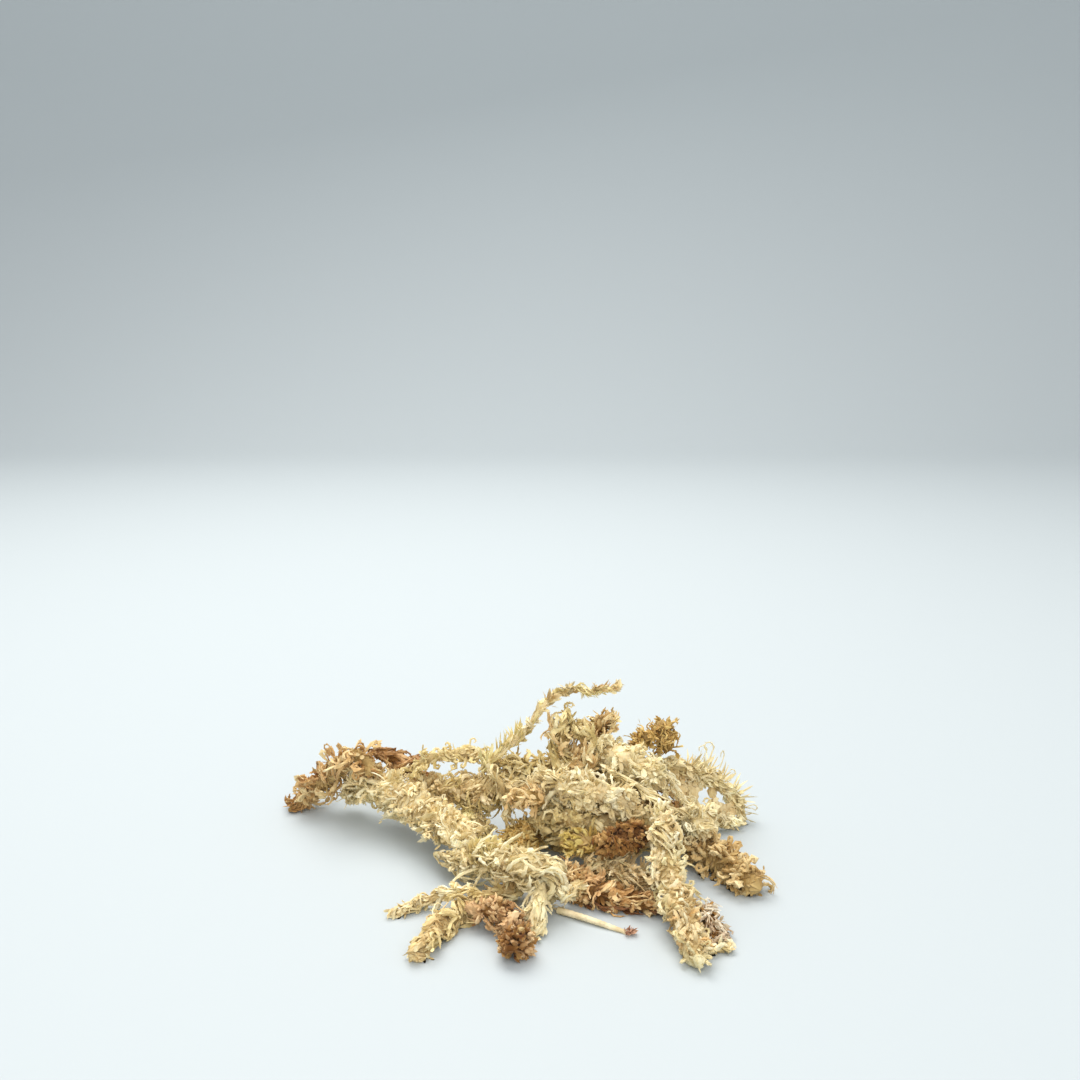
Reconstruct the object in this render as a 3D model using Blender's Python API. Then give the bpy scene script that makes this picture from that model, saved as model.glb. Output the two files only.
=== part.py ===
"""A clump of dried sphagnum moss: a low open heap of leafy shoots, each one its own piece.

Lengths are in millimetres until they are handed to Blender, and +Z is up.
The heap is 156 mm wide along X, 98 mm deep along Y, 53 mm high, and stands on z = 0.
"""
import bpy
import bmesh
import math
import random
from collections import namedtuple

import numpy as np
from mathutils import Matrix, Vector

MM = 0.001
HEAP_SHIFT = (0.63, 3.05, 0)    # brings the middle of the heap's box over the origin

POINT_PITCH = 2.6           # distance between the rings of a shoot
CORE_SHARE = 0.58           # core radius as a share of the shaggy radius
CORE_WAVER = 0.06           # how much the core's radius wavers
SHOOT_SIDES = 10            # points round a ring, every second one raised
THIN_SIDES = 6              # the same on a shoot thinner than THIN_GIRTH
THIN_GIRTH = 2.6
SHOOT_GAP = 0.65            # clear space between the cores of two shoots that touch
REST_SHARE = 0.95           # share of two shaggy radii at which one shoot rests on another
SINK_MOST = 1.6             # farthest that a shoot sinks into the side branches below it
FLAT_DEPTH = 0.35           # how far a shoot on the ground is pressed flat
LIFT_SLOPE = 0.45           # steepest rise of a shoot where it passes over another

BRANCH_RISE = (0.78, 1.1)   # how far out the raised branches stand, as shares of the shaggy radius
BRANCH_LEAN = (0.6, 1.5)    # how far forward their tips lean, as shares of the ring distance
LONG_SHARE = 0.16           # share of the raised branches that are long ones
LONG_RISE = (1.1, 1.35)
LONG_LEAN = (1.4, 2.6)
BRANCH_GAP = 0.34           # clear space between the side branches of two shoots
TUFT_PITCH = 15.0           # distance along the shoot from one long side branch to the next
TUFT_ROOT = 1.15            # radius of a long side branch where it leaves the core
TUFT_BEND = 0.9             # radius at its bend, from which it runs out to a point
TUFT_LENGTH = 1.7           # farthest that it runs forward, as a share of the shaggy radius
TUFT_SIDES = 3
GRIP_REACH = 7.0            # longest side branch that holds on to a neighbouring shoot
GRIPS = 2                   # side branches of a shoot that hold on to its neighbours
NEARBY = 18.0               # farthest that two branches could touch
GRIP_ROOM = 0.3             # a grip stops BRANCH_GAP short of a core, so it is tested for less
ANGLE_WAVER = 0.22          # how far a branch sits off its even place, as a share of the step
END_REACH = 0.7             # how far a shoot's round end stands out, as a share of its core radius
SWIRL = 0.9                 # most that a long side branch winds round its shoot, in radians
LEAN_WAVER = 7.0            # how much its lean varies, in degrees
GOLDEN_TURN = math.radians(137.5)
SEED = 46
GROUND_SIDE = 300.0         # size of the block that presses the lowest shoots flat
GROUND_DEPTH = 20.0

Shoot = namedtuple("Shoot", "name colour girth lean route")

STRAW = (0.735, 0.640, 0.400)
CREAM = (0.700, 0.640, 0.440)
TAN = (0.560, 0.400, 0.220)
RUST = (0.470, 0.260, 0.140)
BROWN = (0.230, 0.120, 0.060)
GOLDEN = (0.520, 0.350, 0.130)
ROSY = (0.640, 0.430, 0.290)

# Each row is one leafy shoot, from the lowest in the heap to the highest: its name, its colour,
# its shaggy radius at start, middle and end, how far its side branches lean out in degrees,
# and the points that its middle line runs through.
SHOOTS = [
    Shoot("back_floor_shoot", TAN, (3.2, 4.4, 3.4), 45,
          [(4, 32, 3), (18, 36, 3), (34, 37, 3), (50, 32, 3)]),
    Shoot("under_centre_shoot", STRAW, (3.4, 5.0, 3.6), 45,
          [(7, 15, 3), (20, 18, 3), (36, 15, 3), (52, 18, 3)]),
    Shoot("long_front_shoot", RUST, (5.0, 5.0, 3.8), 42,
          [(11, -6, 6), (16, -10, 5), (24, -17, 5), (33, -19, 4), (40, -22, 4)]),
    Shoot("tan_floor_shoot", TAN, (4.0, 5.4, 4.0), 42,
          [(20, -2, 5), (27, -6, 6), (35, -9, 5), (41, -11, 4)]),
    Shoot("right_foot", TAN, (4.4, 7.4, 6.6), 45,
          [(54, 11, 6), (60, 2, 6), (66, -7, 5), (70, -13, 4)]),
    Shoot("front_left_foot", CREAM, (3.6, 4.8, 3.6), 38,
          [(6, -13, 6), (-1, -16, 5), (-9, -20, 4), (-16, -27, 3), (-21, -34, 3), (-25, -43, 3)]),
    Shoot("brown_foot", RUST, (4.0, 4.4, 3.8), 55,
          [(-10, -28, 5), (-5, -29, 5), (-1, -32, 4), (1, -36, 4)]),
    Shoot("brown_foot_head", BROWN, (3.8, 4.6, 3.8), 75,
          [(1, -39, 4), (1, -42, 4), (1, -45, 4)]),
    Shoot("cut_end_shoot", BROWN, (2.2, 3.6, 3.4), 40,
          [(52, -23, 4), (54, -30, 4), (55, -36, 3)]),
    Shoot("cut_end_bud", CREAM, (2.0, 2.2, 1.8), 40,
          [(50, -40, 2), (53, -41, 2), (57, -40, 2)]),
    Shoot("straw_stem", STRAW, (2.2, 1.9, 1.3), 25,
          [(12, -22, 2), (21, -27, 2), (31, -32, 1)]),
    Shoot("small_bud", CREAM, (2.4, 2.6, 2.0), 45,
          [(10, -18, 3), (14, -19, 3), (19, -18, 2)]),
    Shoot("ochre_head", GOLDEN, (3.8, 5.6, 5.0), 65,
          [(7, 9, 7), (3, 11, 6), (-3, 11, 5)]),
    Shoot("junction_fall", CREAM, (3.0, 3.4, 2.8), 35,
          [(8, -23, 10), (7, -26, 8), (6, -29, 5), (5, -33, 3)]),
    Shoot("junction_shoot", CREAM, (3.6, 5.4, 3.8), 40,
          [(-25, 1, 6), (-15, -5, 7), (-6, -12, 11), (3, -19, 13), (9, -20, 11), (13, -21, 7)]),
    Shoot("thin_left_shoot", CREAM, (1.9, 1.8, 1.4), 35,
          [(-14, -19, 6), (-21, -19, 4), (-27, -20, 2), (-33, -23, 1)]),
    Shoot("left_pale_shoot", CREAM, (4.4, 6.2, 5.0), 36,
          [(-57, 40, 7), (-52, 36, 11), (-45, 30, 13), (-37, 24, 13), (-27, 14, 12), (-19, 3, 12),
           (-13, -2, 13)]),
    Shoot("middle_tuft", STRAW, (3.0, 3.8, 2.8), 40,
          [(-17, 20, 13), (-13, 15, 11), (-11, 11, 7)]),
    Shoot("left_curl_shoot", ROSY, (2.6, 5.0, 4.2), 60,
          [(-78, 40, 1), (-74, 43, 3), (-68, 41, 9), (-61, 36, 17), (-55, 33, 24), (-50, 31, 23),
           (-48, 29, 20)]),
    Shoot("rust_back_shoot", RUST, (3.2, 3.8, 3.0), 50,
          [(-50, 38, 25), (-42, 39, 22), (-35, 38, 17), (-29, 37, 11), (-26, 36, 6)]),
    Shoot("cross_left_shoot", STRAW, (3.4, 4.8, 3.4), 45,
          [(11, 33, 9), (9, 24, 11), (12, 14, 10), (17, 5, 9)]),
    Shoot("cross_right_shoot", TAN, (3.4, 4.8, 3.4), 45,
          [(38, 34, 9), (40, 25, 11), (38, 14, 11), (40, 4, 10)]),
    Shoot("inner_prop_shoot", TAN, (3.4, 4.6, 3.4), 45,
          [(3, 27, 17), (16, 28, 18), (30, 26, 18), (46, 25, 17)]),
    Shoot("centre_low_shoot", STRAW, (3.8, 5.0, 4.0), 45,
          [(4, 10, 13), (12, 8, 15), (20, 4, 16), (29, 3, 16), (38, 4, 16)]),
    Shoot("golden_tuft", GOLDEN, (3.0, 3.8, 2.8), 60,
          [(26, -4, 11), (21, -3, 12), (15, -1, 11)]),
    Shoot("brown_head", BROWN, (3.6, 5.0, 4.2), 70,
          [(39, -3, 14), (34, -6, 16), (29, -8, 15), (25, -7, 13)]),
    Shoot("tan_middle_shoot", TAN, (4.4, 6.4, 5.0), 42,
          [(-31, 29, 14), (-20, 23, 17), (-7, 20, 19), (5, 20, 21), (13, 21, 23)]),
    Shoot("upper_cross_shoot", STRAW, (3.2, 4.2, 3.2), 45,
          [(30, 29, 24), (32, 21, 25), (31, 13, 24)]),
    Shoot("centre_shoot", CREAM, (4.4, 5.8, 4.4), 42,
          [(3, 10, 21), (10, 10, 24), (18, 6, 25), (27, 2, 25), (35, 1, 22)]),
    Shoot("rosy_head", ROSY, (3.2, 4.2, 3.6), 70,
          [(8, 3, 22), (4, 4, 23), (-1, 5, 22)]),
    Shoot("upright_stem", CREAM, (1.6, 1.9, 1.5), 30,
          [(-8, 15, 27), (-5, 12, 23), (-3, 13, 17), (-3, 12, 12)]),
    Shoot("rust_stem", RUST, (2.2, 2.8, 2.0), 45,
          [(44, 18, 18), (49, 17, 14), (54, 15, 10)]),
    Shoot("upper_right_shoot", CREAM, (4.6, 6.2, 4.8), 48,
          [(19, 25, 27), (27, 20, 29), (34, 15, 30), (40, 14, 27), (44, 15, 22)]),
    Shoot("arc_return_shoot", CREAM, (2.4, 3.0, 2.0), 45,
          [(51, 22, 14), (57, 24, 10), (64, 27, 6), (71, 28, 4)]),
    Shoot("right_arc_shoot", CREAM, (3.2, 4.0, 2.6), 62,
          [(42, 20, 28), (52, 26, 23), (61, 31, 18), (68, 34, 12), (73, 35, 6), (74, 32, 2)]),
    Shoot("front_right_shoot", CREAM, (2.0, 6.0, 3.0), 34,
          [(43, -1, 22), (43, -9, 20), (43, -16, 15), (44, -23, 10), (46, -32, 6), (47, -42, 4),
           (48, -48, 3)]),
    Shoot("shoulder_tuft", CREAM, (3.2, 4.6, 3.8), 48,
          [(50, 10, 16), (55, 7, 14), (58, 4, 11)]),
    Shoot("bare_stem_long", STRAW, (1.5, 1.7, 2.0), 28,
          [(29, 7, 30), (36, 5, 27), (43, 4, 22), (48, 5, 18), (53, 6, 15)]),
    Shoot("bare_stem_short", STRAW, (1.5, 1.5, 1.6), 28,
          [(42, 16, 25), (47, 14, 21), (52, 13, 17), (57, 13, 13)]),
    Shoot("golden_head", GOLDEN, (2.6, 4.6, 5.0), 70,
          [(47, 23, 24), (47, 24, 29), (46, 24, 34), (46, 25, 38)]),
    Shoot("golden_lobe", GOLDEN, (2.8, 3.4, 2.8), 70,
          [(43, 21, 34), (40, 21, 33), (37, 22, 31)]),
    Shoot("ragged_top_shoot", STRAW, (3.4, 3.6, 2.8), 40,
          [(15, 18, 27), (14, 20, 32), (14, 20, 38), (15, 21, 43)]),
    Shoot("ragged_mid_shoot", TAN, (3.0, 3.4, 2.6), 40,
          [(20, 15, 25), (21, 17, 29), (21, 18, 34), (20, 19, 39)]),
    Shoot("ragged_side_shoot", BROWN, (2.8, 3.0, 1.8), 40,
          [(24, 24, 29), (25, 25, 33), (27, 25, 37), (30, 24, 40)]),
    Shoot("bridge_shoot", CREAM, (1.8, 2.0, 1.9), 50,
          [(-34, 27, 22), (-31, 28, 26), (-23, 27, 28), (-16, 27, 29), (-8, 24, 28), (-2, 21, 28)]),
    Shoot("rising_arm", STRAW, (3.4, 3.0, 1.6), 42,
          [(-12, 16, 27), (-7, 20, 30), (0, 20, 36), (6, 20, 43), (10, 22, 48), (16, 25, 50),
           (23, 22, 51), (30, 21, 52)]),
]


def smooth_route(route, pitch):
    """Points a fixed distance apart on a smooth curve through the route's own points."""
    ends = [2 * Vector(route[0]) - Vector(route[1]), 2 * Vector(route[-1]) - Vector(route[-2])]
    marks = [ends[0]] + [Vector(p) for p in route] + [ends[1]]
    marks = [mark + Vector(HEAP_SHIFT) for mark in marks]
    fine = []
    for a, b, c, d in zip(marks, marks[1:], marks[2:], marks[3:]):
        for step in range(24):
            t = step / 24
            fine.append(0.5 * (2 * b + (c - a) * t + (2 * a - 5 * b + 4 * c - d) * t * t
                               + (3 * b - a - 3 * c + d) * t ** 3))
    fine.append(marks[-2])
    fine = np.array(fine)
    run = np.concatenate([[0], np.cumsum(np.linalg.norm(np.diff(fine, axis=0), axis=1))])
    count = max(5, round(run[-1] / pitch) + 1)
    at = np.linspace(0, run[-1], count)
    return np.column_stack([np.interp(at, run, fine[:, k]) for k in range(3)])


def girth_along(girth, count):
    """The shaggy radius at each point: start, middle and end, with rounded ends."""
    t = np.linspace(0, 1, count)
    start, middle, end = girth
    swell = np.interp(t, [0, 0.5, 1], [start, middle, end])
    taper = np.minimum(1, 0.62 + 2.4 * np.minimum(t, 1 - t))
    return swell * taper


def lay_shoot(points, cores, girths, laid):
    """Lifts a shoot over the ground and over every shoot below it, then lets it sink to rest."""
    step = np.linalg.norm(points[1] - points[0])
    run = np.abs(np.subtract.outer(np.arange(len(points)), np.arange(len(points)))) * step

    def lowest(own, others, gap):
        floor = cores - FLAT_DEPTH
        if len(others) == 0:
            return floor
        flat = np.linalg.norm(points[:, None, :2] - laid[None, :, :2], axis=2)
        need = own[:, None] + others[None, :] + gap
        over = np.sqrt(np.maximum(need ** 2 - flat ** 2, 0)) + laid[None, :, 2]
        over[flat >= need] = 0
        return np.maximum(floor, over.max(axis=1))

    for _ in range(8):
        short = np.maximum(lowest(cores, laid[:, 3], SHOOT_GAP) - points[:, 2], 0)
        if short.max() < 0.01:
            break
        lift = (short[None, :] - LIFT_SLOPE * run).max(axis=1)
        points[:, 2] += np.maximum(lift, 0)
    rest = lowest(REST_SHARE * girths, REST_SHARE * laid[:, 4], 0)
    points[:, 2] -= np.clip((points[:, 2] - rest).min(), 0, SINK_MOST)
    return points


def lay_heap():
    """The middle line and the radii of every shoot, laid one on another in their order."""
    heap = {}
    laid = np.empty((0, 5))
    for shoot in SHOOTS:
        points = smooth_route(shoot.route, POINT_PITCH)
        girths = girth_along(shoot.girth, len(points))
        cores = girths * CORE_SHARE
        bulk = cores * (1 + CORE_WAVER)
        points = lay_shoot(points, bulk, girths, laid)
        laid = np.vstack([laid, np.column_stack([points, bulk, girths])])
        heap[shoot.name] = (points, cores, girths)
    return heap


def densely(points, radii, pitch=0.9):
    """The same line sampled close enough to measure distances from."""
    run = np.concatenate([[0], np.cumsum(np.linalg.norm(np.diff(points, axis=0), axis=1))])
    at = np.linspace(0, run[-1], max(2, math.ceil(run[-1] / pitch) + 1))
    columns = [np.interp(at, run, points[:, k]) for k in range(3)]
    return np.column_stack(columns + [np.interp(at, run, radii)])


def frames_along(points):
    """At each point: the direction along the shoot and two directions across it."""
    ahead = np.gradient(points, axis=0)
    ahead /= np.linalg.norm(ahead, axis=1)[:, None]
    side = np.cross(ahead[0], (0, 0, 1) if abs(ahead[0][2]) < 0.8 else (1, 0, 0))
    frames = []
    for direction in ahead:
        side = side - direction * np.dot(side, direction)
        side = side / np.linalg.norm(side)
        frames.append((direction, side, np.cross(direction, side)))
    return frames


class Space:
    """What every shoot already fills, so that its neighbours keep clear of it."""

    def __init__(self, heap):
        self.owner = []
        self.solid = []
        for name, (points, cores, _) in heap.items():
            filled = densely(points, cores * (1 + CORE_WAVER))
            self.solid.append(filled)
            self.owner += [name] * len(filled)
        self.cores = len(self.owner)
        self.solid = np.vstack(self.solid)
        self.owner = np.array(self.owner)

    def room(self, name, filled):
        """The least clear distance from a side branch to anything but its own shoot."""
        middle = filled[0, :3]
        near = np.abs(self.solid[:, :3] - middle).max(axis=1) < NEARBY
        others = self.solid[near & (self.owner != name)]
        if len(others) == 0:
            return NEARBY
        apart = np.linalg.norm(filled[:, None, :3] - others[None, :, :3], axis=2)
        clear = (apart - filled[:, None, 3] - others[None, :, 3]).min()
        above_ground = (filled[:, 2] - filled[:, 3]).min() - 0.1
        return min(clear, above_ground + BRANCH_GAP)

    def add(self, name, filled):
        self.solid = np.vstack([self.solid, filled])
        self.owner = np.append(self.owner, [name] * len(filled))


def tuft_path(centre, frame, core, reach, lean, turn, swirl):
    """Root, bend and tip of a side branch that leans forward and out from its shoot."""
    ahead, side, up = frame

    def at(angle, out, forward):
        around = side * math.cos(angle) + up * math.sin(angle)
        return centre + around * out + ahead * forward

    forward = min((reach - 0.4 * core) / math.tan(math.radians(lean)), TUFT_LENGTH * reach)
    bend_out = core + 0.72 * (reach - core)
    return np.array([at(turn, 0.35 * core, 0), at(turn + 0.3 * swirl, bend_out, 0.45 * forward),
                     at(turn + swirl, reach * (1 - 0.12 * abs(swirl)), forward)])


def grow_tufts(shoot, heap, space, draw):
    """Side branches set round the shoot in a spiral, each one bent clear of other shoots."""
    points, cores, girths = heap[shoot.name]
    frames = frames_along(points)
    length = np.linalg.norm(np.diff(points, axis=0), axis=1).sum()
    count = round(length / TUFT_PITCH)
    radii = np.array([TUFT_ROOT, TUFT_BEND, 0.0]) * min(1, 0.8 * cores.mean() / TUFT_ROOT)
    tufts = []
    for number in range(count):
        along = (number + 0.6) / count
        place = along * (len(points) - 1)
        k = min(int(place), len(points) - 2)
        centre = points[k] + (points[k + 1] - points[k]) * (place - k)
        lean = 0.8 * shoot.lean * (1 - 0.5 * along ** 6) + draw.uniform(-LEAN_WAVER, LEAN_WAVER)
        reach = girths[k] * draw.uniform(0.98, 1.3)
        turn = number * GOLDEN_TURN + draw.uniform(-0.3, 0.3)
        swirl = draw.uniform(-SWIRL, SWIRL)
        for nudge, short in ((0, 1), (0.5, 1), (-0.5, 1), (0, 0.86), (0.9, 0.9), (-0.9, 0.9)):
            path = tuft_path(centre, frames[k], cores[k], reach * short, lean, turn + nudge, swirl)
            filled = densely(path, radii)
            outside = np.linalg.norm(filled[:, :3] - centre, axis=1) > 0.8 * cores[k]
            if space.room(shoot.name, filled[outside]) > BRANCH_GAP:
                tufts.append((path, radii))
                space.add(shoot.name, filled[outside])
                break
    return tufts


def grow_grips(shoot, heap, space):
    """A few side branches that reach to the nearest other shoots and stop just short of them."""
    points, cores, _ = heap[shoot.name]
    others = space.solid[:space.cores][space.owner[:space.cores] != shoot.name]
    across = others[None, :, :3] - points[:, None, :]
    apart = np.linalg.norm(across, axis=2)
    gap = apart - cores[:, None] - others[None, :, 3]
    radii = np.array([TUFT_ROOT, TUFT_BEND, 0.0]) * min(1, 0.8 * cores.mean() / TUFT_ROOT)
    grips = []
    used = []
    for flat in np.argsort(gap, axis=None)[:400]:
        k, j = np.unravel_index(flat, gap.shape)
        if gap[k, j] > GRIP_REACH or len(grips) == GRIPS:
            break
        if any(abs(k - other) < 3 for other in used):
            continue
        used.append(k)
        toward = across[k, j] / apart[k, j]
        tip = points[k] + toward * (apart[k, j] - others[j, 3] - BRANCH_GAP)
        path = np.array([points[k] + toward * 0.3 * cores[k], (points[k] + tip) / 2, tip])
        filled = densely(path, radii)
        outside = np.linalg.norm(filled[:, :3] - points[k], axis=1) > 0.7 * cores[k]
        if outside.sum() and space.room(shoot.name, filled[outside]) > GRIP_ROOM:
            grips.append((path, radii))
            space.add(shoot.name, filled[outside])
    return grips


def tuft_mesh(path, radii):
    """A side branch with one bend: three-sided, and tapered to a point."""
    bm = bmesh.new()
    bmesh.ops.create_cone(bm, cap_ends=True, segments=TUFT_SIDES, radius1=1, radius2=0, depth=2)
    sides = [edge for edge in bm.edges if abs(edge.verts[0].co.z - edge.verts[1].co.z) > 1]
    bmesh.ops.subdivide_edges(bm, edges=sides, cuts=1)
    frames = frames_along(path)
    widest = [1, 0.5, 1]
    for vert in bm.verts:
        ring = round(vert.co.z) + 1
        _, side, up = frames[ring]
        place = path[ring] + (side * vert.co.x + up * vert.co.y) * radii[ring] / widest[ring]
        vert.co = Vector(place) * MM
    mesh = bpy.data.meshes.new("tuft")
    bm.to_mesh(mesh)
    bm.free()
    return mesh


def branch_rings(shoot, heap, space, draw):
    """Rings of points along a shoot. Every second point is drawn out and forward as a short
    leafy branch, in the next ring the other ones, and none so far that it meets another shoot."""
    points, cores, girths = heap[shoot.name]
    frames = frames_along(points)
    sides = THIN_SIDES if max(shoot.girth) < THIN_GIRTH else SHOOT_SIDES
    pitch = np.linalg.norm(points[1] - points[0])
    rings = []
    for i, (centre, (ahead, side, up)) in enumerate(zip(points, frames)):
        ring = []
        for j in range(sides):
            angle = (j + draw.uniform(-ANGLE_WAVER, ANGLE_WAVER)) * math.tau / sides
            around = side * math.cos(angle) + up * math.sin(angle)
            low = centre + around * cores[i] * draw.uniform(1 - CORE_WAVER, 1 + CORE_WAVER)
            is_long = draw.random() < LONG_SHARE
            rise = girths[i] * draw.uniform(*(LONG_RISE if is_long else BRANCH_RISE)) - cores[i]
            lean = pitch * draw.uniform(*(LONG_LEAN if is_long else BRANCH_LEAN))
            if (i + j) % 2:
                ring.append(low)
                continue
            for share in (1, 0.8, 0.6, 0.4, 0.2, 0):
                tip = low + (around * rise + ahead * lean) * share
                filled = np.array([[*(low + (tip - low) * t), 1.2 - t] for t in (0.2, 0.4, 0.6, 0.8, 1)])
                if share == 0 or space.room(shoot.name, filled) > BRANCH_GAP:
                    break
            if share:
                space.add(shoot.name, filled)
            ring.append(tip)
        rings.append(ring)
    return rings


def shoot_mesh(name, points, cores, rings):
    """A loft through the rings, with each quad split between its two low corners."""
    bm = bmesh.new()
    rows = [[bm.verts.new(Vector(place) * MM) for place in ring] for ring in rings]
    sides = len(rows[0])
    for i in range(len(rows) - 1):
        for j in range(sides):
            a, b = rows[i][j], rows[i][(j + 1) % sides]
            c, d = rows[i + 1][(j + 1) % sides], rows[i + 1][j]
            if (i + j) % 2:
                bm.faces.new((a, b, c))
                bm.faces.new((a, c, d))
            else:
                bm.faces.new((a, b, d))
                bm.faces.new((b, c, d))
    for row, end, before, core in ((rows[0], points[0], points[1], cores[0]),
                                   (rows[-1], points[-1], points[-2], cores[-1])):
        beyond = end + (end - before) / np.linalg.norm(end - before) * core * END_REACH
        tip = bm.verts.new(Vector(beyond) * MM)
        for j in range(sides):
            pair = (row[(j + 1) % sides], row[j]) if row is rows[0] else (row[j], row[(j + 1) % sides])
            bm.faces.new((*pair, tip))
    mesh = bpy.data.meshes.new(name)
    if bm.calc_volume(signed=True) < 0:
        bmesh.ops.reverse_faces(bm, faces=bm.faces)
    bm.to_mesh(mesh)
    bm.free()
    return mesh


def keep_one_body(mesh):
    """Keeps the outer body of a union: sealed hollows are filled and loose scraps dropped."""
    bm = bmesh.new()
    bm.from_mesh(mesh)
    islands = []
    unseen = set(bm.faces)
    while unseen:
        stack = [unseen.pop()]
        island = set(stack)
        while stack:
            for edge in stack.pop().edges:
                for face in edge.link_faces:
                    if len(edge.link_faces) == 2 and face in unseen:
                        unseen.discard(face)
                        island.add(face)
                        stack.append(face)
        islands.append(island)
    biggest = max(islands, key=len)
    spare = [face for island in islands if island is not biggest for face in island]
    bmesh.ops.delete(bm, geom=spare, context="FACES")
    bmesh.ops.triangulate(bm, faces=bm.faces)
    bm.to_mesh(mesh)
    bm.free()


def boolean(target, operation, **operand):
    """Applies one Boolean to an object's mesh. The exact solver is slow on this many branches."""
    modifier = target.modifiers.new(operation.lower(), "BOOLEAN")
    modifier.operation = operation
    modifier.solver = "MANIFOLD"
    for key, value in operand.items():
        setattr(modifier, key, value)
    bpy.context.view_layer.update()
    mesh = bpy.data.meshes.new_from_object(target.evaluated_get(bpy.context.evaluated_depsgraph_get()))
    target.modifiers.clear()
    old = target.data
    target.data = mesh
    bpy.data.meshes.remove(old)


def dry_moss(name, colour):
    """Dead, papery moss: matt, with one colour for the shoot."""
    material = bpy.data.materials.get(name) or bpy.data.materials.new(name)
    material.use_nodes = True
    shader = material.node_tree.nodes["Principled BSDF"]
    shader.inputs["Base Color"].default_value = (*colour, 1)
    shader.inputs["Roughness"].default_value = 0.9
    shader.inputs["Metallic"].default_value = 0.0
    return material


def build_shoot(shoot, heap, rings, tufts, ground):
    """One leafy shoot: its loft and long side branches joined, pressed flat where it meets the
    ground, with its origin at the shoot's root."""
    points, cores, _ = heap[shoot.name]
    body = bpy.data.objects.new(shoot.name, shoot_mesh(shoot.name, points, cores, rings))
    bpy.context.scene.collection.objects.link(body)
    if tufts:
        repeats = bpy.data.collections.new(shoot.name + "_tufts")
        bpy.context.scene.collection.children.link(repeats)
        for path, radii in tufts:
            repeats.objects.link(bpy.data.objects.new("tuft", tuft_mesh(path, radii)))
        boolean(body, "UNION", operand_type="COLLECTION", collection=repeats)
        for tuft in list(repeats.objects):
            bpy.data.objects.remove(tuft)
        bpy.data.collections.remove(repeats)
    if min(vert.co.z for vert in body.data.vertices) < 0:
        boolean(body, "DIFFERENCE", object=ground)
    keep_one_body(body.data)
    root = Vector(points[0]) * MM
    body.data.transform(Matrix.Translation(-root))
    body.location = root
    body.data.materials.clear()
    body.data.materials.append(dry_moss(shoot.name + "_moss", shoot.colour))
    return body


def ground_cutter():
    """A block whose top is the ground, which presses the lowest shoots flat."""
    cutters = bpy.data.collections.new("cutters")
    bpy.context.scene.collection.children.link(cutters)
    bpy.ops.mesh.primitive_cube_add(size=1)
    block = bpy.context.object
    block.name = "ground_block"
    for home in list(block.users_collection):
        home.objects.unlink(block)
    cutters.objects.link(block)
    for vert in block.data.vertices:
        x, y, z = vert.co
        vert.co = Vector((x * GROUND_SIDE, y * GROUND_SIDE, (z - 0.5) * GROUND_DEPTH)) * MM
    block.hide_render = True
    block.display_type = "WIRE"
    return block


for old in list(bpy.data.objects):
    bpy.data.objects.remove(old)
clump = bpy.data.collections.new("sphagnum_moss_clump")
bpy.context.scene.collection.children.link(clump)
stand = bpy.data.objects.new("clump_origin", None)
clump.objects.link(stand)
ground = ground_cutter()

draw = random.Random(SEED)
heap = lay_heap()
space = Space(heap)
tufts = {shoot.name: grow_grips(shoot, heap, space) for shoot in SHOOTS}
rings = {shoot.name: branch_rings(shoot, heap, space, draw) for shoot in SHOOTS}
for shoot in SHOOTS:
    tufts[shoot.name] += grow_tufts(shoot, heap, space, draw)
    body = build_shoot(shoot, heap, rings[shoot.name], tufts[shoot.name], ground)
    bpy.context.scene.collection.objects.unlink(body)
    clump.objects.link(body)
    body.parent = stand
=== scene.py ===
"""A clump of dried sphagnum moss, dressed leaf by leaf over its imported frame.

Lengths are in millimetres until a mesh is handed to Blender, and +Z is up. The shoots are laid
in the order in which they lie in the heap, from those on the ground to the rising arm.
"""
import bpy
import math
import numpy as np
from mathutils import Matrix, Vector


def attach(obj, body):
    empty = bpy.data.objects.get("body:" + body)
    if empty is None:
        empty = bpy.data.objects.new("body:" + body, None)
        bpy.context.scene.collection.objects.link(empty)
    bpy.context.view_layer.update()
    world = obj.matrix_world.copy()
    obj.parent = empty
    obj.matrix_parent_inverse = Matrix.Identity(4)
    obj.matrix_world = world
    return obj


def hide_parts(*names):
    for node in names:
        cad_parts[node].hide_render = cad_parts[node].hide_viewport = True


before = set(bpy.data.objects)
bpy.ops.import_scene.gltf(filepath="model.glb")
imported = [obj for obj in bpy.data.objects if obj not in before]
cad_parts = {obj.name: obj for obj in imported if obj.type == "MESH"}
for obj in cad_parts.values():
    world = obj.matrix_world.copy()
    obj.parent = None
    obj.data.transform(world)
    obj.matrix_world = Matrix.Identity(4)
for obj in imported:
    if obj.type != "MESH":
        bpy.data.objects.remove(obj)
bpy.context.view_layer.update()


# The camera stands 300 mm in front of the heap and 170 mm up, and looks down on it at a shallow
# angle, so that the heap lies low in the frame.
MM = 0.001                      # a millimetre in Blender's metres
CAMERA_PLACE = (7.63, -295.95, 170.0)
CAMERA_DOWN = 12.5              # degrees below the level
FOCAL_SHARE = 1083 / 1080       # focal length as a share of the picture's width
FILM = 36.0

camera = bpy.data.cameras.new("camera")
camera.sensor_width = FILM
camera.lens = FILM * FOCAL_SHARE
camera.clip_start = 0.01
camera_stand = bpy.data.objects.new("camera", camera)
camera_stand.location = Vector(CAMERA_PLACE) * MM
camera_stand.rotation_euler = (math.radians(90 - CAMERA_DOWN), 0, 0)
bpy.context.scene.collection.objects.link(camera_stand)
bpy.context.scene.camera = camera_stand
bpy.context.scene.view_settings.view_transform = "Standard"


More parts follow.
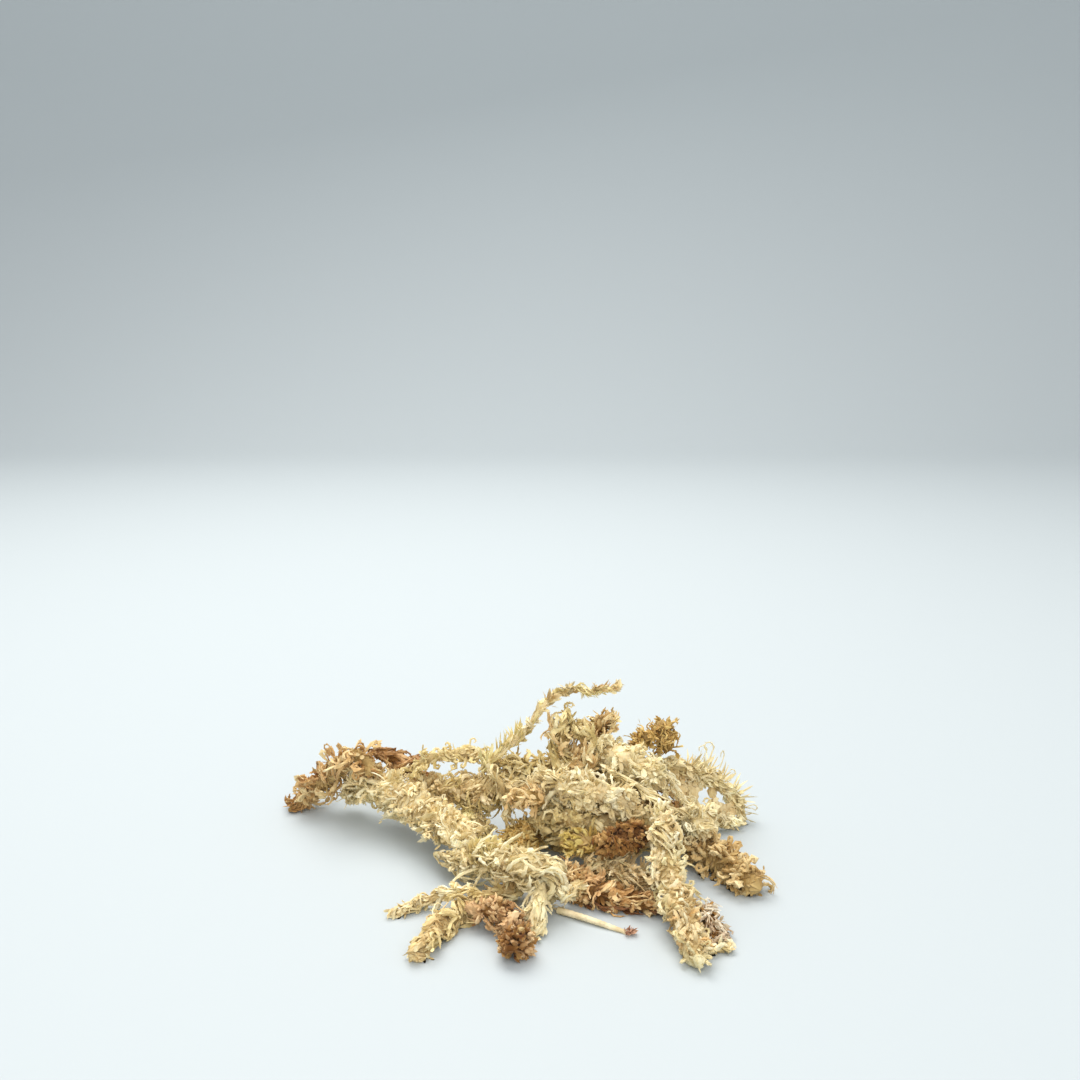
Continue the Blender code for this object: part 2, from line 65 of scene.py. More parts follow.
# The floor is a sheet of smooth white paper, bluish in the daylight, that runs back from the
# camera and rolls up into a backdrop well behind the heap.
FLOOR_FRONT = -5000.0
FLOOR_BACK = 900.0
FLOOR_HALF_WIDTH = 5000.0
ROLL_RADIUS = 500.0
ROLL_STEPS = 16
BACKDROP_TOP = 1900.0
PAPER_WHITE = (0.52, 0.565, 0.58, 1)

profile = [(FLOOR_FRONT, 0.0), (0.0, 0.0), (FLOOR_BACK, 0.0)]
for step in range(1, ROLL_STEPS + 1):
    turn = step / ROLL_STEPS * math.pi / 2
    profile.append((FLOOR_BACK + ROLL_RADIUS * math.sin(turn), ROLL_RADIUS * (1 - math.cos(turn))))
profile.append((FLOOR_BACK + ROLL_RADIUS, BACKDROP_TOP))
paper_points = [(x, y, z) for y, z in profile for x in (-FLOOR_HALF_WIDTH, FLOOR_HALF_WIDTH)]
paper_faces = [(2 * k, 2 * k + 1, 2 * k + 3, 2 * k + 2) for k in range(len(profile) - 1)]
paper_mesh = bpy.data.meshes.new("paper_floor")
paper_mesh.from_pydata([Vector(p) * MM for p in paper_points], [], paper_faces)
paper_mesh.shade_smooth()
paper_floor = bpy.data.objects.new("paper_floor", paper_mesh)
bpy.context.scene.collection.objects.link(paper_floor)
paper = bpy.data.materials.new("white_paper")
paper.use_nodes = True
paper_shader = paper.node_tree.nodes["Principled BSDF"]
paper_shader.inputs["Base Color"].default_value = PAPER_WHITE
paper_shader.inputs["Roughness"].default_value = 0.6
paper_shader.inputs["Specular IOR Level"].default_value = 0.25
paper_mesh.materials.append(paper)


# Soft daylight: one wide window high up behind the heap, a weaker one in front, and a pale sky
# all round that fills the shadows.
def window(name, place, size, power, colour):
    light = bpy.data.lights.new(name, "AREA")
    light.shape = "SQUARE"
    light.size = size * MM
    light.energy = power
    light.color = colour
    holder = bpy.data.objects.new(name, light)
    holder.location = Vector(place) * MM
    holder.rotation_euler = (-holder.location).to_track_quat("-Z", "Y").to_euler()
    bpy.context.scene.collection.objects.link(holder)


window("back_window", (-150, 420, 900), 800, 9.6, (1.0, 0.98, 0.95))
window("front_window", (150, -700, 900), 1000, 5.6, (1.0, 0.985, 0.96))
sky = bpy.data.worlds.new("pale_sky")
sky.use_nodes = True
sky.node_tree.nodes["Background"].inputs["Color"].default_value = (0.96, 0.98, 1.0, 1)
sky.node_tree.nodes["Background"].inputs["Strength"].default_value = 0.76
bpy.context.scene.world = sky


# The first shoots lie flat on the floor, at the back and under the middle, mostly hidden. A shoot
# is a dried stem set all round with side branches, each clothed in small overlapping leaves, dry
# and papery. It is lifted over the shoots already there, then let down until its leaves touch.
HEAP_SHIFT = (0.63, 3.05, 0)    # brings the middle of the heap's box over the origin
POINT_PITCH = 2.6               # distance between the points of a shoot as it is laid
FINE_PITCH = 0.4                # the same on its finished middle line
CORE_SHARE = 0.58               # stem and inner leaves, as a share of the shaggy radius
CORE_WAVER = 0.06               # how far a core's radius wavers, as a share of it
SHOOT_GAP = 0.65                # clear space between the cores of two shoots that touch
REST_SHARE = 0.95               # share of two shaggy radii at which one rests on the other
SINK_MOST = 1.6                 # farthest that a shoot sinks into the leaves below it
FLAT_DEPTH = 0.35               # how far a shoot on the floor is pressed flat
LIFT_SLOPE = 0.45               # steepest rise of a shoot where it passes over another
LUMP_PITCH = 4.0                # a shoot swells and thins about this often along its length
LUMP_SHARE = 0.2                # and by about this share of its radius
GOLDEN_TURN = math.radians(137.5)
FLOOR_ROOM = 0.06               # clear space between the lowest leaves and the floor
ROOT_SHARE = 0.42               # side branches start this far out in the shoot
STIFFNESS = 0.45                # how readily a side branch bends to where it is pulled
LEAF_THICKNESS = 0.06
COVER_LEAF = (1.6, 3.2)         # shortest and longest leaf that lies on the stem
CORE_RINGS_APART = 0.9
CORE_SIDES = 16
LEAF_FOLD = 72                  # leaves that meet at more degrees than this show an edge
THREAD_SIZE = (6, 12, 0.15, 0.3)
THREAD_REACH = (0.95, 1.4)      # nearest and farthest from the stem, in shaggy radii
TIP_STRAIGHT = 0.35             # share of a curled tip before its roll begins
TIP_ROLL = 0.42                 # first radius of the roll, as a share of the tip's height
TIP_TIGHTENS = 0.62             # how much of that radius is lost by the roll's end
TIP_RINGS = 12

laid = np.empty((0, 5))         # a row for each laid point: its place, core radius and girth


def read_at(at, run, points):
    """Places on a line at the distances in at, where run holds its own points' distances."""
    return np.column_stack([np.interp(at, run, points[:, k]) for k in range(3)])


def smooth_route(route):
    """Points POINT_PITCH apart on a smooth curve through the route's own points."""
    ends = [2 * Vector(route[0]) - Vector(route[1]), 2 * Vector(route[-1]) - Vector(route[-2])]
    marks = [ends[0]] + [Vector(p) for p in route] + [ends[1]]
    marks = [mark + Vector(HEAP_SHIFT) for mark in marks]
    fine = []
    for a, b, c, d in zip(marks, marks[1:], marks[2:], marks[3:]):
        for step in range(24):
            t = step / 24
            fine.append(0.5 * (2 * b + (c - a) * t + (2 * a - 5 * b + 4 * c - d) * t * t
                               + (3 * b - a - 3 * c + d) * t ** 3))
    fine.append(marks[-2])
    fine = np.array(fine)
    run = np.concatenate([[0], np.cumsum(np.linalg.norm(np.diff(fine, axis=0), axis=1))])
    at = np.linspace(0, run[-1], max(5, round(run[-1] / POINT_PITCH) + 1))
    return read_at(at, run, fine)


def girth_along(girth, count):
    """The shaggy radius at each point: start, middle and end, with rounded ends."""
    t = np.linspace(0, 1, count)
    return np.interp(t, [0, 0.5, 1], girth) * np.minimum(1, 0.62 + 2.4 * np.minimum(t, 1 - t))


def lay_shoot(points, cores, girths):
    """Lifts a shoot over the ground and over every shoot below it, then lets it sink to rest."""
    step = np.linalg.norm(points[1] - points[0])
    run = np.abs(np.subtract.outer(np.arange(len(points)), np.arange(len(points)))) * step

    def lowest(own, others, gap):
        floor = cores - FLAT_DEPTH
        if len(others) == 0:
            return floor
        flat = np.linalg.norm(points[:, None, :2] - laid[None, :, :2], axis=2)
        need = own[:, None] + others[None, :] + gap
        over = np.sqrt(np.maximum(need ** 2 - flat ** 2, 0)) + laid[None, :, 2]
        over[flat >= need] = 0
        return np.maximum(floor, over.max(axis=1))

    for _ in range(8):
        short = np.maximum(lowest(cores, laid[:, 3], SHOOT_GAP) - points[:, 2], 0)
        if short.max() < 0.01:
            break
        lift = (short[None, :] - LIFT_SLOPE * run).max(axis=1)
        points[:, 2] += np.maximum(lift, 0)
    rest = lowest(REST_SHARE * girths, REST_SHARE * laid[:, 4], 0)
    points[:, 2] -= np.clip((points[:, 2] - rest).min(), 0, SINK_MOST)
    return points


def unit(vectors):
    return vectors / np.maximum(np.linalg.norm(vectors, axis=-1, keepdims=True), 1e-9)


def carried_frames(paths):
    """Directions along and across each of many paths, carried along it without twisting."""
    ahead = unit(np.gradient(paths, axis=1))
    across = np.cross(ahead[:, 0], (0.31, 0.17, 0.94))
    sides = []
    for k in range(paths.shape[1]):
        across = unit(across - ahead[:, k] * (across * ahead[:, k]).sum(axis=1, keepdims=True))
        sides.append(across)
    sides = np.stack(sides, axis=1)
    return ahead, sides, np.cross(ahead, sides)


class Lie:
    """How one shoot lies in the heap: its middle line, finely divided, with its radii."""

    def __init__(self, girth, route):
        global laid
        points = smooth_route(route)
        girths = girth_along(girth, len(points))
        cores = girths * CORE_SHARE * (1 + CORE_WAVER)
        points = lay_shoot(points, cores, girths)
        laid = np.vstack([laid, np.column_stack([points, cores, girths])])
        run = np.concatenate([[0], np.cumsum(np.linalg.norm(np.diff(points, axis=0), axis=1))])
        self.length = run[-1]
        at = np.linspace(0, self.length, max(6, round(self.length / FINE_PITCH) + 1))
        line = read_at(at, run, points)
        for _ in range(3):
            line[1:-1] = (line[:-2] + 2 * line[1:-1] + line[2:]) / 4
        self.line = line
        draw = np.random.default_rng(len(laid))
        lumps = draw.normal(0, 1, max(3, round(self.length / LUMP_PITCH)))
        lumpy = np.interp(at, np.linspace(0, self.length, len(lumps)), lumps).clip(-1.2, 1.2)
        self.girth = np.interp(at, run, girths) * (1 + LUMP_SHARE * lumpy)
        self.ahead, self.side, self.up = [way[0] for way in carried_frames(line[None])]

    def area(self):
        return 2 * math.pi * self.girth.mean() * self.length


def grow_paths(lie, count, draw, length, reach, lean, swirl, curl, wild, thick, steps, droop=0.0,
               span=(0, 1), bunch=3, tangle=0.2, skyward=False):
    """Middle lines of side branches, which stand on the stem in bunches: each leaves its shoot
    leaning forward, winds a little round it at its own distance, and curls towards its tip."""
    bunches = max(1, math.ceil(count / bunch))
    count = bunches * bunch
    of = np.repeat(np.arange(bunches), bunch)
    share = (np.arange(bunches) + draw.uniform(0, 1, bunches)) / bunches
    at = ((span[0] + (span[1] - span[0]) * share) * (len(lie.line) - 1))[of]
    k = np.clip(np.round(at + draw.normal(0, 1.2, count)).astype(int), 0, len(lie.line) - 1)
    turn = np.arange(bunches) * GOLDEN_TURN + draw.uniform(-0.5, 0.5, bunches)
    turn = turn[of] + draw.normal(0, 0.3, count)
    out = lie.side[k] * np.cos(turn)[:, None] + lie.up[k] * np.sin(turn)[:, None]
    if skyward:
        out *= np.where(out[:, 2] < 0, -1, 1)[:, None]
    sense = np.where(draw.uniform(0, 1, bunches) < tangle, -1, 1)[of][:, None]
    lengths = draw.uniform(*length, count)
    far = draw.uniform(*reach, bunches)[of] * draw.uniform(0.82, 1.05, count)
    leans = np.radians(lean + draw.normal(0, 10, bunches)[of] + draw.normal(0, 6, count))
    winds = draw.normal(0, swirl, bunches)[of] + draw.normal(0, 0.4 * swirl, count)
    curls = draw.normal(0, curl, bunches) + np.sign(draw.uniform(-1, 1, bunches)) * curl * 0.6
    curls = curls[of] + draw.normal(0, 0.3 * curl, count)
    axes = unit(draw.normal(0, 1, (bunches, 3))[of] + draw.normal(0, 0.4, (count, 3)))
    place = lie.line[k] + out * (lie.girth[k] * ROOT_SHARE)[:, None]
    heading = unit(lie.ahead[k] * sense * np.cos(leans)[:, None] + out * np.sin(leans)[:, None])
    path = [place]
    for step in range(1, steps):
        t = step / (steps - 1)
        near = np.argmin(((place[:, None] - lie.line[None]) ** 2).sum(axis=2), axis=1)
        radial = place - lie.line[near]
        out = unit(radial + 1e-6)
        ahead = lie.ahead[near] * sense
        target = lie.girth[near] * far
        pull = np.clip((target - np.linalg.norm(radial, axis=1)) / (0.4 * target), -1.2, 1)
        want = unit(ahead * np.cos(leans)[:, None] * 0.8 + out * pull[:, None]
                    + np.cross(ahead, out) * winds[:, None] + draw.normal(0, wild, (count, 3)))
        want[:, 2] -= droop * t
        heading = unit(heading + STIFFNESS * (want - heading))
        angle = (curls * t * t)[:, None]
        heading = unit(heading * np.cos(angle) + np.cross(axes, heading) * np.sin(angle)
                       + axes * (axes * heading).sum(axis=1, keepdims=True) * (1 - np.cos(angle)))
        place = place + heading * (lengths / (steps - 1))[:, None]
        place[:, 2] = np.maximum(place[:, 2], thick * 0.8 * (1 - 0.6 * t) + FLOOR_ROOM)
        path.append(place)
    return np.stack(path, axis=1)


def deepened(colour, shade):
    """A leaf colour in shade: darker, and deeper in hue, as light is that has passed leaves."""
    dim = np.minimum(shade, 1)
    # Factors above one make the colour up to 6 % paler: painted light on leaf tips, and the paler
    # patches.
    return np.minimum(colour, 0.99) ** (1 + 1.1 * (1 - dim)) * dim ** 0.6 * np.clip(shade, 1, 1.06)


PATCH_WAVES = np.random.default_rng(11).normal(0, 0.55, (12, 3))
PATCH_STARTS = np.random.default_rng(12).uniform(0, math.tau, 12)


def patch_colours(places, palette, draw):
    """One of the palette's colours for each place. Neighbours dry alike, so that each colour
    lies in patches a few millimetres across, with a few strays."""
    swell = np.sin(places @ PATCH_WAVES[:6].T + PATCH_STARTS[:6]).sum(axis=-1)
    rank = 0.5 + 0.2 * swell + draw.normal(0, 0.14, len(places))
    return np.array(palette)[(rank.clip(0, 0.999) * len(palette)).astype(int)]


def patch_light(places):
    """How light the moss is at each place: it is paler where it has dried longest."""
    return 1 + 0.085 * np.sin(places @ PATCH_WAVES[6:].T * 1.3 + PATCH_STARTS[6:]).sum(axis=-1)


def clothe(paths, draw, thick, palette, sides=6, rise=0.35, forward=1.0, flat=0.25, taper=0.3,
           root_shade=0.66, leaf_light=1.05, blunt=False, swell=None):
    """Skins many paths with overlapping leaves. In each ring every second point is the tip of a
    leaf, drawn out and forward over the next ring; in the next ring it is the other points."""
    count, rings, _ = paths.shape
    ahead, side, up = carried_frames(paths)
    pitch = np.linalg.norm(np.diff(paths, axis=1), axis=2).mean(axis=1)
    t = np.linspace(0, 1, rings)
    if swell is None and blunt:
        swell = np.interp(t, [0, 0.25, 0.75, 0.93, 1], [0.75, 1, 1, 0.8, 0.5])[None]
    elif swell is None:
        swell = np.interp(t, [0, 0.2, 0.6, 1], [0.7, 1, 0.85, taper])[None]
    radius = draw.uniform(*thick, count)[:, None] * swell
    squeeze = 1 - draw.uniform(0, flat, count)
    spin = draw.uniform(0, math.tau, count)
    every = (count, rings, sides)
    slots = np.arange(sides)
    angle = spin[:, None, None] + slots[None, None] * (math.tau / sides) \
        + draw.uniform(-0.2, 0.2, every)
    leaf = ((slots[None] + np.arange(rings)[:, None]) % 2 == 0)[None] & np.ones((count, 1, 1), bool)
    lift = np.where(leaf, 1 + rise * (0.4 + draw.exponential(0.5, every).clip(0, 2)), 0.88)
    r = radius[:, :, None] * lift
    push = np.where(leaf, forward * draw.uniform(0.5, 1.3, every), 0) * pitch[:, None, None]
    push[:, -1] *= 0.4
    rings_at = (paths[:, :, None] + side[:, :, None] * (r * np.cos(angle))[..., None]
                + up[:, :, None] * (r * np.sin(angle) * squeeze[:, None, None])[..., None]
                + ahead[:, :, None] * push[..., None])
    start = paths[:, 0] - ahead[:, 0] * radius[:, :1] * 0.5
    end = paths[:, -1] + ahead[:, -1] * (radius[:, -1:] * 0.8 + pitch[:, None] * 0.9)
    points = np.concatenate([rings_at.reshape(count, -1, 3), start[:, None], end[:, None]], axis=1)
    colours = patch_colours(paths[:, rings // 2], palette, draw)
    # Painted light and shade: each branch darker towards its root, inside the shoot, by root_shade;
    # the raised leaf tips paler by leaf_light, a painted highlight, and the hollows between them
    # darker at 0.92, painted shade. patch_light and the noise are the moss's own tone.
    shade = draw.normal(1, 0.05, (count, 1, 1)) * patch_light(paths)[..., None] \
        * (root_shade + (1 - root_shade) * np.minimum(1, 2.2 * t))[None, :, None] \
        * np.where(leaf, leaf_light, 0.92) * draw.normal(1, 0.03, every)
    # The cap at each branch's root is painted shade, darkened by root_shade; the cap at its tip is
    # 5 % paler than the branch's colour.
    tint = np.concatenate([deepened(colours[:, None, None], shade[..., None]).reshape(count, -1, 3),
                           deepened(colours[:, None], root_shade), colours[:, None] * 1.05], axis=1)
    faces = []
    for k in range(rings - 1):
        for j in range(sides):
            a, b = k * sides + j, k * sides + (j + 1) % sides
            c, d = b + sides, a + sides
            faces += [(a, b, c), (a, c, d)] if (j + k) % 2 else [(a, b, d), (b, c, d)]
    first, last = rings * sides, rings * sides + 1
    for j in range(sides):
        faces.append(((j + 1) % sides, j, first))
        faces.append(((rings - 1) * sides + j, (rings - 1) * sides + (j + 1) % sides, last))
    faces = np.array(faces)[None] + (np.arange(count) * (last + 1))[:, None, None]
    return points.reshape(-1, 3), faces.reshape(-1, 3), tint.reshape(-1, 3)


def leaf_blades(places, pointing, facing, draw, length, palette, wide=0.6, cup=0.3):
    """Single leaves: egg-shaped blades, cupped like a boat, each a closed body of twelve faces."""
    count = len(places)
    long = draw.uniform(*length, count)[:, None]
    half = long * wide / 2 * draw.uniform(0.6, 1.3, (count, 1))
    along = unit(pointing)
    over = unit(facing - along * (facing * along).sum(axis=1, keepdims=True))
    across = np.cross(along, over)
    bow = draw.uniform(-0.3, 1, (count, 1)) * cup * long
    rim = [(0, 0, 0), (0.35, 0.8, 0.35), (0.75, 0.75, 0.8), (1, 0, 1.3), (0.75, -0.75, 0.8),
           (0.35, -0.8, 0.35)]
    points = [places + along * long * far + across * half * side + over * bow * high
              for far, side, high in rim]
    for skin in (1, -1):
        points.append(places + along * long * 0.55 - over * (bow * 0.1 + skin * LEAF_THICKNESS))
    shape = [(k, (k + 1) % 6, 6) for k in range(6)] + [((k + 1) % 6, k, 7) for k in range(6)]
    faces = np.array(shape)[None] + (np.arange(count) * 8)[:, None, None]
    colours = patch_colours(places, palette, draw)
    # Painted shade on each leaf: darker at its root, where it meets the branch, and at the middle
    # of its faces; paler towards its tip and rim.
    shade = draw.normal(1, 0.05, (count, 1, 1)) * patch_light(places)[:, None, None] \
        * np.array([0.8, 0.97, 1.03, 1.06, 1.03, 0.97, 0.88, 0.96])[None, :, None]
    tint = deepened(colours[:, None], shade)
    return np.stack(points, axis=1).reshape(-1, 3), faces.reshape(-1, 3), tint.reshape(-1, 3)


def stray_leaves(paths, draw, number, length, palette, out, thick):
    """Leaves that stand off the side branches, where drying has bent them outward."""
    count, rings, _ = paths.shape
    ahead, side, up = carried_frames(paths)
    spot = draw.integers(0, count, number), draw.integers(1, rings, number)
    turn = draw.uniform(0, math.tau, number)[:, None]
    away = side[spot] * np.cos(turn) + up[spot] * np.sin(turn)
    pointing = ahead[spot] + away * draw.uniform(0.3, 1.6, number)[:, None] * out
    return leaf_blades(paths[spot] + away * thick * 0.7, pointing, away, draw, length, palette)


def leaf_cover(lie, draw, number, palette, share):
    """Small cupped leaves all over the stem, lying forward on it like the scales of a cone."""
    at = draw.integers(0, len(lie.line), number)
    turn = draw.uniform(0, math.tau, number)[:, None]
    away = lie.side[at] * np.cos(turn) + lie.up[at] * np.sin(turn)
    sidle = np.cross(lie.ahead[at], away) * draw.normal(0, 0.6, (number, 1))
    far = lie.girth[at, None] * share * draw.uniform(0.9, 1.12, (number, 1))
    pointing = lie.ahead[at] + sidle + away * draw.uniform(0.1, 1.6, (number, 1)) * 0.4
    return leaf_blades(lie.line[at] + away * far, pointing, away, draw, COVER_LEAF, palette,
                       cup=0.4)


def middle_line(lie, pitch):
    """Points a fixed distance apart along a shoot's middle, and its girth at each."""
    at = np.linspace(0, len(lie.line) - 1, max(5, round(lie.length / pitch)))
    index = np.arange(len(lie.line))
    return read_at(at, index, lie.line), np.interp(at, index, lie.girth)


def leafy_core(lie, draw, palette, share):
    """The stem with its innermost leaves, which fills the shoot between the side branches."""
    path, girth = middle_line(lie, CORE_RINGS_APART)
    # The core is darker than the outer leaves, partly as painted shade inside the shoot, and
    # root_shade darkens it by up to a fifth towards the shoot's first end.
    points, faces, tint = clothe(path[None], draw, (1, 1), palette, sides=CORE_SIDES, rise=0.22,
                                 forward=1.2, flat=0, taper=1, root_shade=0.8)
    ahead = unit(np.gradient(path, axis=0))
    off = points[:-2].reshape(-1, CORE_SIDES, 3) - path[:, None]
    lengthwise = (off * ahead[:, None]).sum(axis=2, keepdims=True) * ahead[:, None]
    off = (off - lengthwise) * (girth * share)[:, None, None] + lengthwise
    points[:-2] = (path[:, None] + off).reshape(-1, 3)
    points[-2] = path[0] - ahead[0] * girth[0] * 0.3
    points[-1] = path[-1] + ahead[-1] * girth[-1] * 0.45
    return points, faces, tint


def moss_material(name):
    """Dry moss: matt and papery, its colour painted leaf by leaf and mottled at a fine grain."""
    material = bpy.data.materials.new(name)
    material.use_nodes = True
    nodes, links = material.node_tree.nodes, material.node_tree.links

    def add(kind, **values):
        node = nodes.new("ShaderNode" + kind)
        if kind == "Mix":
            node.data_type = "RGBA"
        for socket, value in values.items():
            node.inputs[socket.replace("_", " ")].default_value = value
        return node

    shader = nodes["Principled BSDF"]
    painted = add("Attribute")
    painted.attribute_name = "leaf_colour"
    where = add("TexCoord")
    mottle = add("TexNoise", Scale=200, Detail=3, Roughness=0.65)
    spread = add("MapRange", From_Min=0.3, From_Max=0.7, To_Min=0.0, To_Max=1.0)
    stain = add("Mix", A=(0.80, 0.72, 0.62, 1), B=(1.12, 1.12, 1.12, 1))
    blend = add("Mix", Factor=1)
    blend.blend_type = "MULTIPLY"
    grain = add("TexNoise", Scale=2200, Detail=3)
    wrinkle = add("Bump", Strength=0.3, Distance=0.0002)
    links.new(where.outputs["Object"], mottle.inputs["Vector"])
    links.new(mottle.outputs["Fac"], spread.inputs["Value"])
    links.new(spread.outputs["Result"], stain.inputs["Factor"])
    links.new(painted.outputs["Color"], blend.inputs["A"])
    links.new(stain.outputs["Result"], blend.inputs["B"])
    links.new(blend.outputs["Result"], shader.inputs["Base Color"])
    links.new(where.outputs["Object"], grain.inputs["Vector"])
    links.new(grain.outputs["Fac"], wrinkle.inputs["Height"])
    links.new(wrinkle.outputs["Normal"], shader.inputs["Normal"])
    shader.inputs["Roughness"].default_value = 0.82
    shader.inputs["Specular IOR Level"].default_value = 0.25
    shader.inputs["Sheen Weight"].default_value = 0.12
    return material


moss_materials = {}


def joined(parts):
    """Many bodies of one shoot as one: their points, faces and leaf colours."""
    starts = np.cumsum([0] + [len(points) for points, _, _ in parts[:-1]])
    return (np.vstack([points for points, _, _ in parts]),
            np.vstack([faces + start for (_, faces, _), start in zip(parts, starts)]),
            np.vstack([tints for _, _, tints in parts]))


def moss_piece(node, slot, parts):
    """Joins the branches and leaves of one shoot into its piece, and sets it on the frame."""
    points, faces, tints = joined(parts)
    points[:, 2] = np.maximum(points[:, 2], FLOOR_ROOM * 0.5)
    mesh = bpy.data.meshes.new(node + "_leaves")
    mesh.vertices.add(len(points))
    mesh.vertices.foreach_set("co", (points * MM).astype(np.float32).ravel())
    mesh.loops.add(faces.size)
    mesh.loops.foreach_set("vertex_index", faces.astype(np.int32).ravel())
    mesh.polygons.add(len(faces))
    mesh.polygons.foreach_set("loop_start", np.arange(0, faces.size, 3, dtype=np.int32))
    mesh.update(calc_edges=True)
    colour = mesh.color_attributes.new("leaf_colour", "FLOAT_COLOR", "POINT")
    rgba = np.column_stack([tints.clip(0.01, 1), np.ones(len(tints))])
    colour.data.foreach_set("color", rgba.astype(np.float32).ravel())
    mesh.shade_smooth()
    mesh.set_sharp_from_angle(angle=math.radians(LEAF_FOLD))
    if slot not in moss_materials:
        moss_materials[slot] = moss_material(slot)
    mesh.materials.append(moss_materials[slot])
    piece = bpy.data.objects.new(node + "_leaves", mesh)
    bpy.context.scene.collection.objects.link(piece)
    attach(piece, "root")
    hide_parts(node)


def spots_round(lie, draw, number, span, sky):
    """Places along a shoot and directions away from it, upward ones alone where sky is set."""
    k = (draw.uniform(span[0], span[1], number) * (len(lie.line) - 1)).astype(int)
    turn = draw.uniform(0, math.tau, number)[:, None]
    away = lie.side[k] * np.cos(turn) + lie.up[k] * np.sin(turn)
    if sky:
        away *= np.where(away[:, 2:] < 0, -1, 1)
    return k, away


def curled_tips(number, size, thick, palette, span=(0, 1), turns=(0.8, 1.5), sky=True,
                start=0.7):
    """Side branches that rise from the shoot and roll up at their tips, as they dry."""
    def make(lie, draw):
        k, away = spots_round(lie, draw, number, span, sky)
        rise = draw.uniform(*size, number)[:, None]
        over = unit(lie.ahead[k] * draw.choice([-1, 1], (number, 1))
                    + draw.normal(0, 0.3, (number, 3)))
        over = unit(over - away * (over * away).sum(axis=1, keepdims=True))
        spins = draw.uniform(*turns, number)[:, None] * math.tau
        foot = lie.line[k] + away * lie.girth[k, None] * start
        hub = foot + away * rise * 1.05 + over * rise * TIP_ROLL
        path = []
        for t in np.arange(TIP_RINGS) / (TIP_RINGS - 1):
            if t < TIP_STRAIGHT:
                path.append(foot + away * rise * t * 3)
            else:
                s = (t - TIP_STRAIGHT) / (1 - TIP_STRAIGHT)
                r = rise * TIP_ROLL * (1 - TIP_TIGHTENS * s)
                path.append(hub - over * r * np.cos(spins * s) + away * r * np.sin(spins * s))
        return clothe(np.stack(path, axis=1), draw, thick, palette, sides=5, rise=0.25, flat=0.4,
                      taper=0.5, root_shade=0.8)
    return make


lies = {}


def shoot(node, slot, girth, route, seed, inner, outer, ribbons=0.75,
          ribbon_size=(4, 7.5, 0.6, 1.2), branches=0.25, branch_size=(4, 8, 0.28, 0.5),
          reach=(0.85, 1.25), lean=30, swirl=0.6, curl=0.6, droop=0.15, wild=0.2, rise=0.3,
          flat=0.5, threads=0.008, thread_colours=None, leaves=0.12, leaf_length=(1.4, 2.8),
          leaf_out=0.5, tangle=0.2, core=0.62, cover=0.12, curls=0, extra=()):
    """A whole shoot: its core, broad crumpled side branches that lie on it like ribbons, thin
    ones that stand off it, some threads, and the leaves that have come loose on them. A size is
    the shortest and longest, then the thinnest and thickest. Ribbons and branches are shares of
    the shoot's surface; threads, leaves, cover and curls are numbers on each square mm."""
    lie = lies[node] = Lie(girth, route)
    draw = np.random.default_rng(seed)
    area = lie.area()
    parts = [leafy_core(lie, draw, inner, core)]
    if cover:
        parts.append(leaf_cover(lie, draw, round(cover * area), inner + 2 * outer, core))
    if curls:
        parts.append(curled_tips(round(curls * area), (1.3, 2.8), (0.35, 0.65), outer,
                                 turns=(0.35, 0.9), sky=False, start=0.5)(lie, draw))

    def dress(share, size, reach, lean, curl, steps, bunch, sides, rise, flat, leaves):
        if share == 0:
            return
        long, thick = size[:2], size[2:]
        number = max(4, round(share * area / (np.mean(long) * np.mean(thick) * 2)))
        paths = grow_paths(lie, number, draw, long, reach, lean, swirl, curl, wild, np.mean(thick),
                           steps=steps, droop=droop, tangle=tangle, bunch=bunch)
        parts.append(clothe(paths, draw, thick, outer, sides=sides, rise=rise, flat=flat,
                            blunt=True))
        parts.append(stray_leaves(paths, draw, round(leaves * area), leaf_length, outer, leaf_out,
                                  np.mean(thick)))

    dress(ribbons, ribbon_size, (reach[0] * 0.76, reach[1] * 0.8), lean * 0.8, curl * 0.7, steps=8,
          bunch=4, sides=6, rise=rise * 0.5, flat=flat, leaves=leaves)
    dress(branches, branch_size, reach, lean + 10, curl, steps=9, bunch=3, sides=5, rise=rise,
          flat=flat * 0.5, leaves=leaves * 0.5)
    if threads:
        loose = grow_paths(lie, round(threads * area), draw, THREAD_SIZE[:2], THREAD_REACH,
                           lean + 8, swirl=0.9, curl=1.1, wild=0.3, thick=0.3, steps=12,
                           droop=droop * 0.5, tangle=0.4)
        parts.append(clothe(loose, draw, THREAD_SIZE[2:], thread_colours or outer, sides=4,
                            rise=0.4, taper=0.35, root_shade=0.85))
    parts += [make(lie, draw) for make in extra]
    moss_piece(node, slot, parts)


PALE_STRAW = [(0.90, 0.78, 0.44), (0.85, 0.72, 0.38), (0.78, 0.64, 0.32), (0.93, 0.83, 0.51)]
DRY_TAN = [(0.80, 0.63, 0.33), (0.73, 0.55, 0.27), (0.86, 0.71, 0.41), (0.66, 0.48, 0.22)]
# INNER colours (stem, inner leaves): partly their own colour, partly painted shade in the shoot.
INNER_TAN = [(0.52, 0.37, 0.15)]
INNER_STRAW = [(0.74, 0.60, 0.32)]

shoot("back_floor_shoot", "tan_moss", (3.2, 4.4, 3.4),
      [(4, 32, 3), (18, 36, 3), (34, 37, 3), (50, 32, 3)], 1,
      INNER_TAN, DRY_TAN, lean=38, tangle=0.4)
shoot("under_centre_shoot", "straw_moss", (3.4, 5, 3.6),
      [(7, 15, 3), (20, 18, 3), (36, 15, 3), (52, 18, 3)], 2,
      INNER_STRAW, PALE_STRAW, lean=38, tangle=0.4)


